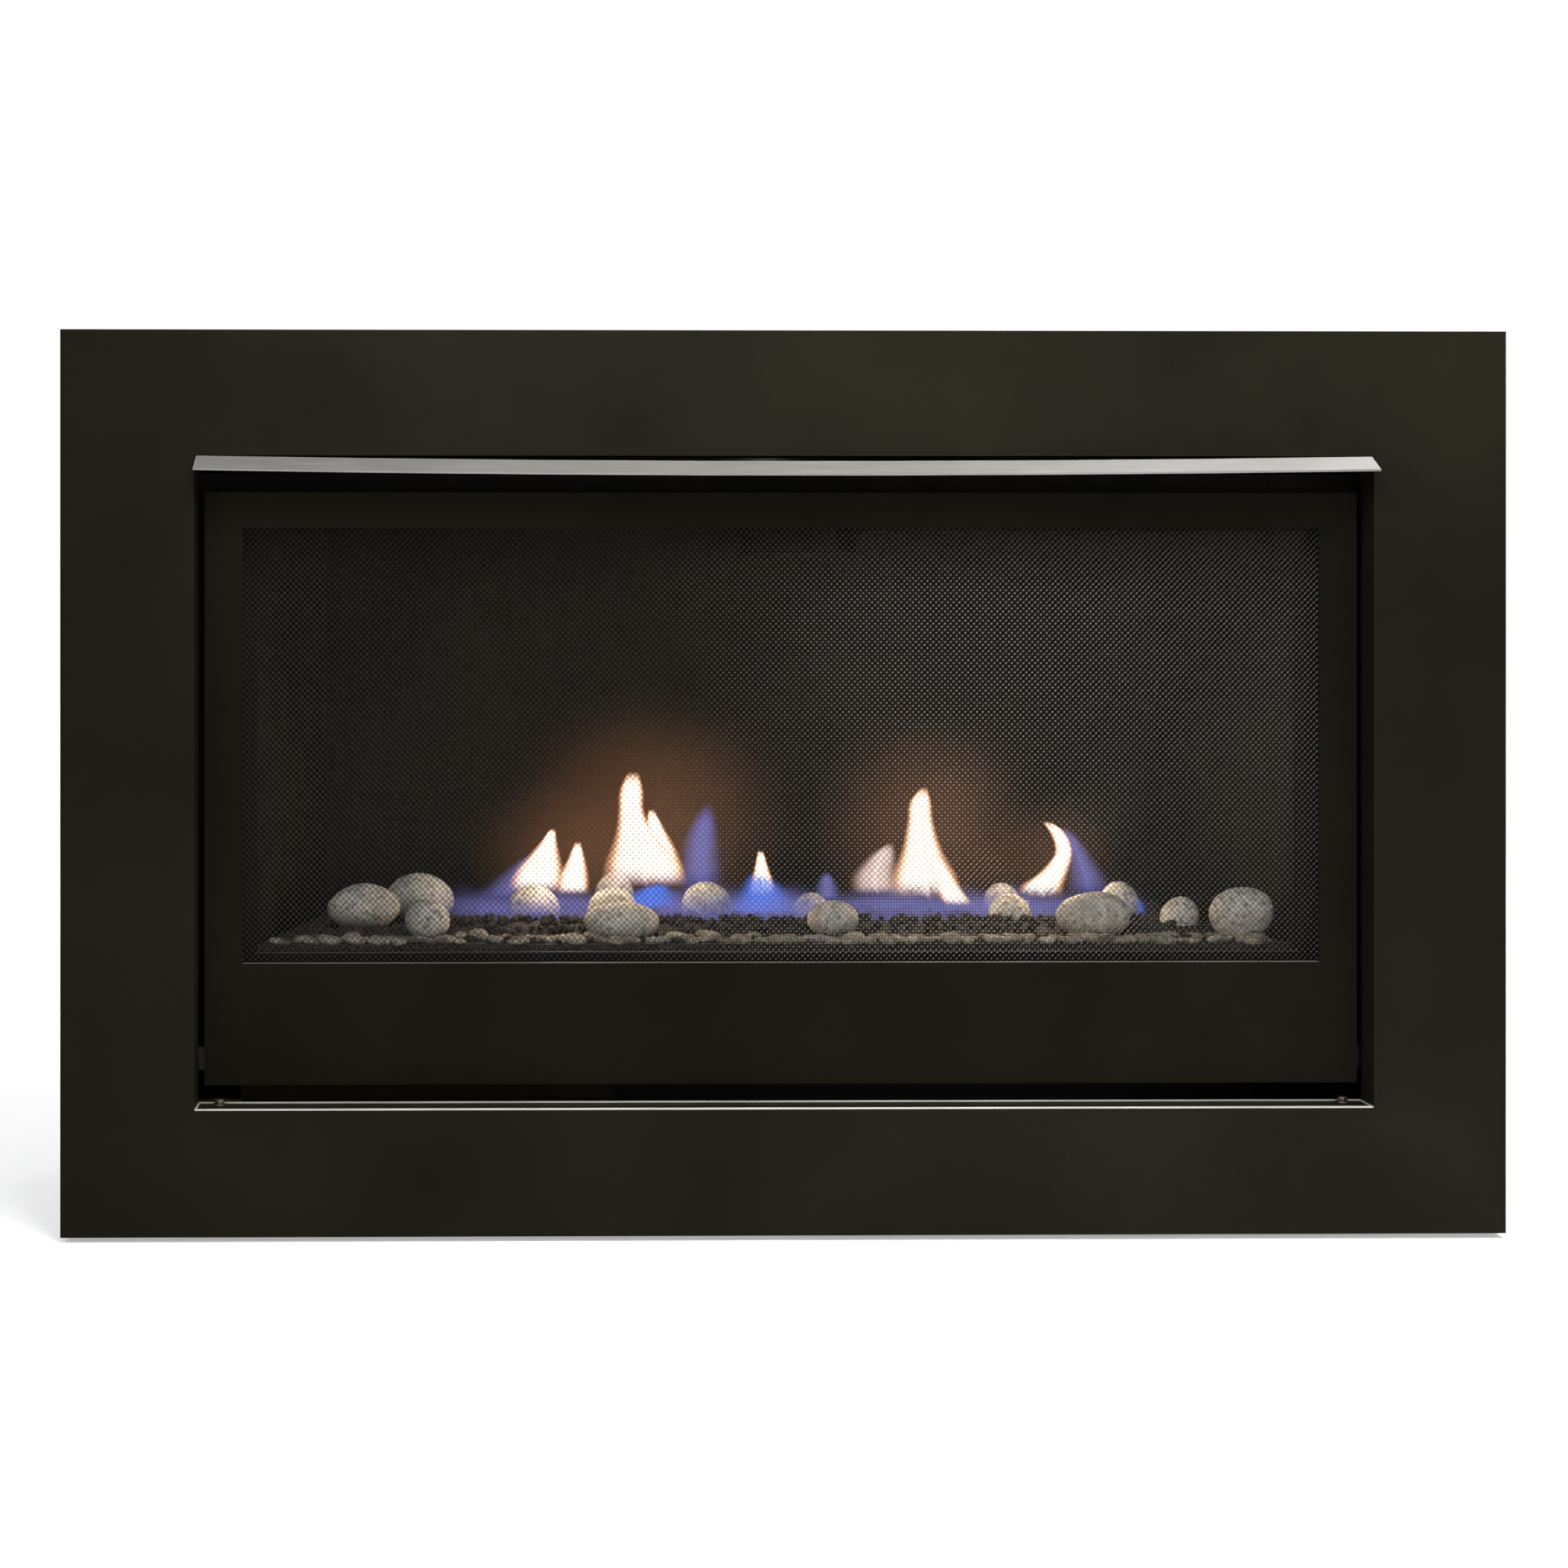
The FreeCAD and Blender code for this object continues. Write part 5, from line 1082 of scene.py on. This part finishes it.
# half the width of the surround's opening, and the height of its sill
OPENING_HALF, SILL = 0.4595, 0.102
# painted highlight: a light satin metal for the edges of the black return
sill_highlight_finish = satin_metal("painted_edge_highlight", tint(176, 173, 166), tint(205, 202, 195), 0.3, 0.45, 0.4)


def plain_bar(low, high, name):
    """A bar between two corners."""
    middle = [(a + b) / 2 for a, b in zip(low, high)]
    bar = begin(bpy.ops.mesh.primitive_cube_add, size=1, location=middle,
                scale=[b - a for a, b in zip(low, high)])
    bar.name = name
    return bar


def edge_bar(low, high, name):
    """A slim bar between two corners, with its edges rounded."""
    bar = plain_bar(low, high, name)
    thinnest = min(b - a for a, b in zip(low, high))
    apply_modifier(bar, "BEVEL", width=thinnest * EDGE_ROUNDING, segments=2)
    return bar


front, rear, top = surround_low.y, surround_high.y, SILL + EDGE_HEIGHT
sill_edges = [
    edge_bar((-OPENING_HALF, front, SILL), (OPENING_HALF, front + EDGE_DEPTH, top), "sill_front"),
    edge_bar((-OPENING_HALF, rear - EDGE_DEPTH, SILL), (OPENING_HALF, rear, top), "sill_rear"),
    edge_bar((-OPENING_HALF, front, SILL), (-OPENING_HALF + EDGE_DEPTH, rear, top), "sill_left"),
    edge_bar((OPENING_HALF - EDGE_DEPTH, front, SILL), (OPENING_HALF, rear, top), "sill_right"),
]
deliver(join(sill_edges, "sill_edges"), sill_highlight_finish, "chassis", "bright_hood")

# %% [markdown]
# The window of the barrier and the glass frame behind it show a fine lower edge that is a little lighter
# than its black frame: a painted highlight, made in the same way, thinner and duller.

# %% Fine edges
# painted highlight: a lighter satin metal on the lower edges of black frames
faint_edge_highlight = satin_metal("faint_edge_highlight", tint(74, 72, 66), tint(94, 91, 85), 0.4, 0.55, 0.5)
barrier_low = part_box("barrier_frame")[0]
glass_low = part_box("glass_frame")[0]
# half the widths of the barrier's window and of the glass frame's view, and the heights of their sills
WINDOW_HALF, WINDOW_SILL = 0.424, 0.213
VIEW_HALF, VIEW_SILL = 0.416, 0.218
FINE_HEIGHT, FINE_DEPTH = 0.0009, 0.0012


def fine_edge(half, front, sill, name):
    return edge_bar((-half, front, sill), (half, front + FINE_DEPTH, sill + FINE_HEIGHT), name)


window_edge = fine_edge(WINDOW_HALF, barrier_low.y, WINDOW_SILL, "barrier_window_edge")
deliver(window_edge, faint_edge_highlight, "barrier", "black_powder_coat")
view_edge = fine_edge(VIEW_HALF, glass_low.y, VIEW_SILL, "glass_view_edge")
deliver(view_edge, faint_edge_highlight, "chassis", "firebox_black")

# %% [markdown]
# ## Screws
# The casing is held by hex-headed sheet screws with a washer face. One is modelled from two cylinders
# with bevelled edges, and copied to each place with its own mesh, turned so that its head looks
# outwards.

# %% One screw
SCREW_WASHER, SCREW_HEAD = 0.0046, 0.0034
WASHER_THICK, HEAD_THICK, SCREW_BEVEL = 0.0010, 0.0024, 0.0003


def hex_screw():
    """One hex screw at the origin, with its head towards +Z."""
    washer = begin(bpy.ops.mesh.primitive_cylinder_add, vertices=24, radius=SCREW_WASHER,
                   depth=WASHER_THICK, location=(0, 0, WASHER_THICK / 2))
    head = begin(bpy.ops.mesh.primitive_cylinder_add, vertices=6, radius=SCREW_HEAD,
                 depth=HEAD_THICK, location=(0, 0, WASHER_THICK + HEAD_THICK / 2))
    screw = join([washer, head], "screw")
    apply_modifier(screw, "BEVEL", width=SCREW_BEVEL, segments=2)
    return screw


def facing(outward):
    return Vector(outward).to_track_quat("Z", "Y").to_euler()


print("a screw's head stands", round(WASHER_THICK + HEAD_THICK, 4), "m proud")

# %% [markdown]
# Plated screws hold the casing's sides and top, the flanges and the intake collar. The back face keeps
# none: a head there would stand out beyond the CAD model.

# %% Casing screws
WHOLE, SMALL = (1, 1, 1), (0.8, 0.8, 0.8)
SIDE_HEIGHTS, FLANGE_HEIGHTS = (0.05, 0.20, 0.34, 0.49, 0.63), (0.10, 0.33, 0.56)
TOP_PLACES = (-0.46, -0.23, 0.23, 0.46)
BACK_INSET, FRONT_INSET, FLANGE_PLACE, FLANGE_SHEET = 0.010, 0.014, -0.124, 0.0015
COLLAR_SHEET, COLLAR_INSET, COLLAR_SCREWS = 0.0009, 0.007, 6
casing_side, casing_top = casing_high.x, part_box("casing_top")[1].z
flange_face = -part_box("nailing_flange_left")[1].x + FLANGE_SHEET
collar_low, collar_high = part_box("intake_collar")
vent_middle = (collar_low + collar_high) / 2
screw_circle = collar_high.x - COLLAR_INSET

screw_places = []
for sign in (-1, 1):
    outward = facing((sign, 0, 0))
    for z in SIDE_HEIGHTS:
        screw_places.append(((sign * casing_side, casing_high.y - BACK_INSET, z), WHOLE, outward))
    for z in FLANGE_HEIGHTS:
        screw_places.append(((sign * flange_face, FLANGE_PLACE, z), WHOLE, outward))
upward = facing((0, 0, 1))
for x in TOP_PLACES:
    for y in (casing_low.y + FRONT_INSET, casing_high.y - BACK_INSET):
        screw_places.append(((x, y, casing_top), WHOLE, upward))
for index in range(COLLAR_SCREWS):
    angle = math.tau * (index + 0.5) / COLLAR_SCREWS
    x, y = screw_circle * math.cos(angle), vent_middle.y + screw_circle * math.sin(angle)
    screw_places.append(((x, y, casing_top + COLLAR_SHEET), SMALL, upward))
deliver(strew(hex_screw(), screw_places, "casing_screws"), plated, "chassis", "hardware_zinc", smooth=30)

# %% [markdown]
# Darker screws hold the control panel, and a larger one sits at each end of the sill.

# %% Trim screws
LARGE = (1.2, 1.2, 1.4)
PANEL_SIDE, PANEL_RISE = 0.014, 0.012
SILL_SCREW_PLACE, SILL_SCREW_INSET = 0.4425, 0.007
panel_low, panel_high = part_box("control_panel")
forward = facing((0, -1, 0))
dark_places = [((x, panel_low.y, panel_low.z + PANEL_RISE), SMALL, forward)
               for x in (panel_low.x + PANEL_SIDE, panel_high.x - PANEL_SIDE)]
for sign in (-1, 1):
    dark_places.append(((sign * SILL_SCREW_PLACE, surround_high.y - SILL_SCREW_INSET, SILL), LARGE, upward))
deliver(strew(hex_screw(), dark_places, "trim_screws"), tinted_steel, "chassis", "hardware_zinc", smooth=30)

# %% [markdown]
# ## Seal round the gas pipe
# The gas pipe comes in through a slot in the casing's left side. A black rubber seal fills the slot and
# leaves a round hole for the pipe, in line with the shut-off valve. The hole is cut with a Boolean and
# its rims are softened.

# %% Pipe seal
PIPE_HOLE, PIPE_HEIGHT, CUTTER_LENGTH = 0.0115, 0.0715, 0.01
# the slot's lower front and upper rear corners, as Y and Z
SLOT_LOW, SLOT_HIGH = (0.0095, 0.0415), (0.0795, 0.1015)
SEAL_THICK, SEAL_SETBACK, SEAL_BEVEL = 0.0011, 0.0002, 0.0002
valve_low, valve_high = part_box("shutoff_valve")
seal_face = -casing_side + SEAL_SETBACK
pipe_cutter = begin(
    bpy.ops.mesh.primitive_cylinder_add, vertices=48, radius=PIPE_HOLE, depth=CUTTER_LENGTH,
    rotation=(0, math.pi / 2, 0), location=(seal_face, (valve_low.y + valve_high.y) / 2, PIPE_HEIGHT))
seal = plain_bar((seal_face, *SLOT_LOW), (seal_face + SEAL_THICK, *SLOT_HIGH), "pipe_seal")
apply_modifier(seal, "BOOLEAN", object=pipe_cutter, operation="DIFFERENCE", solver="EXACT")
apply_modifier(seal, "BEVEL", width=SEAL_BEVEL, segments=2, limit_method="ANGLE")
bpy.data.objects.remove(pipe_cutter)
deliver(seal, black_plastic, "chassis", "black_plastic")

# %% [markdown]
# ## Marks on the controls
# Each knob has a raised white pointer, which turns with it, and the panel has plain ticks round the
# knobs for their end and middle places. There is no lettering. A mark is a slim bar with rounded edges,
# turned about the knob's middle.

# %% Control marks
MARK_HALF, MARK_THICK = 0.0008, 0.0005
POINTER_START, POINTER_END = 0.25, 0.8
TICK_GAP, TICK_END = 0.003, 0.007
# each knob: the body that it rides on, and the angles of its ticks
KNOBS = {"control_knob": ("main_knob", (0, 90, 180)), "flame_knob": ("height_knob", (0, 90))}
mark_white = moulded("mark_white", tint(206, 204, 198), tint(222, 220, 214), 0.2)


def mark(middle, face, start, end, angle):
    """A bar on a face that looks forwards, from one radius to another, at an angle from straight up."""
    bar = edge_bar((-MARK_HALF, face - MARK_THICK, start), (MARK_HALF, face + MARK_THICK / 2, end), "mark")
    bar.rotation_euler = (0, math.radians(angle), 0)
    bar.location = (middle[0], 0, middle[1])
    settle(bar)
    return bar


for node_name, (body, sweep) in KNOBS.items():
    low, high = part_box(node_name)
    middle, radius = ((low.x + high.x) / 2, (low.z + high.z) / 2), (high.x - low.x) / 2
    pointer = mark(middle, low.y, radius * POINTER_START, radius * POINTER_END, 0)
    pointer.name = node_name + "_pointer"
    deliver(pointer, mark_white, body, "white_ceramic")
    ticks = [mark(middle, panel_low.y, radius + TICK_GAP, radius + TICK_END, angle) for angle in sweep]
    deliver(join(ticks, node_name + "_ticks"), mark_white, "chassis", "white_ceramic")
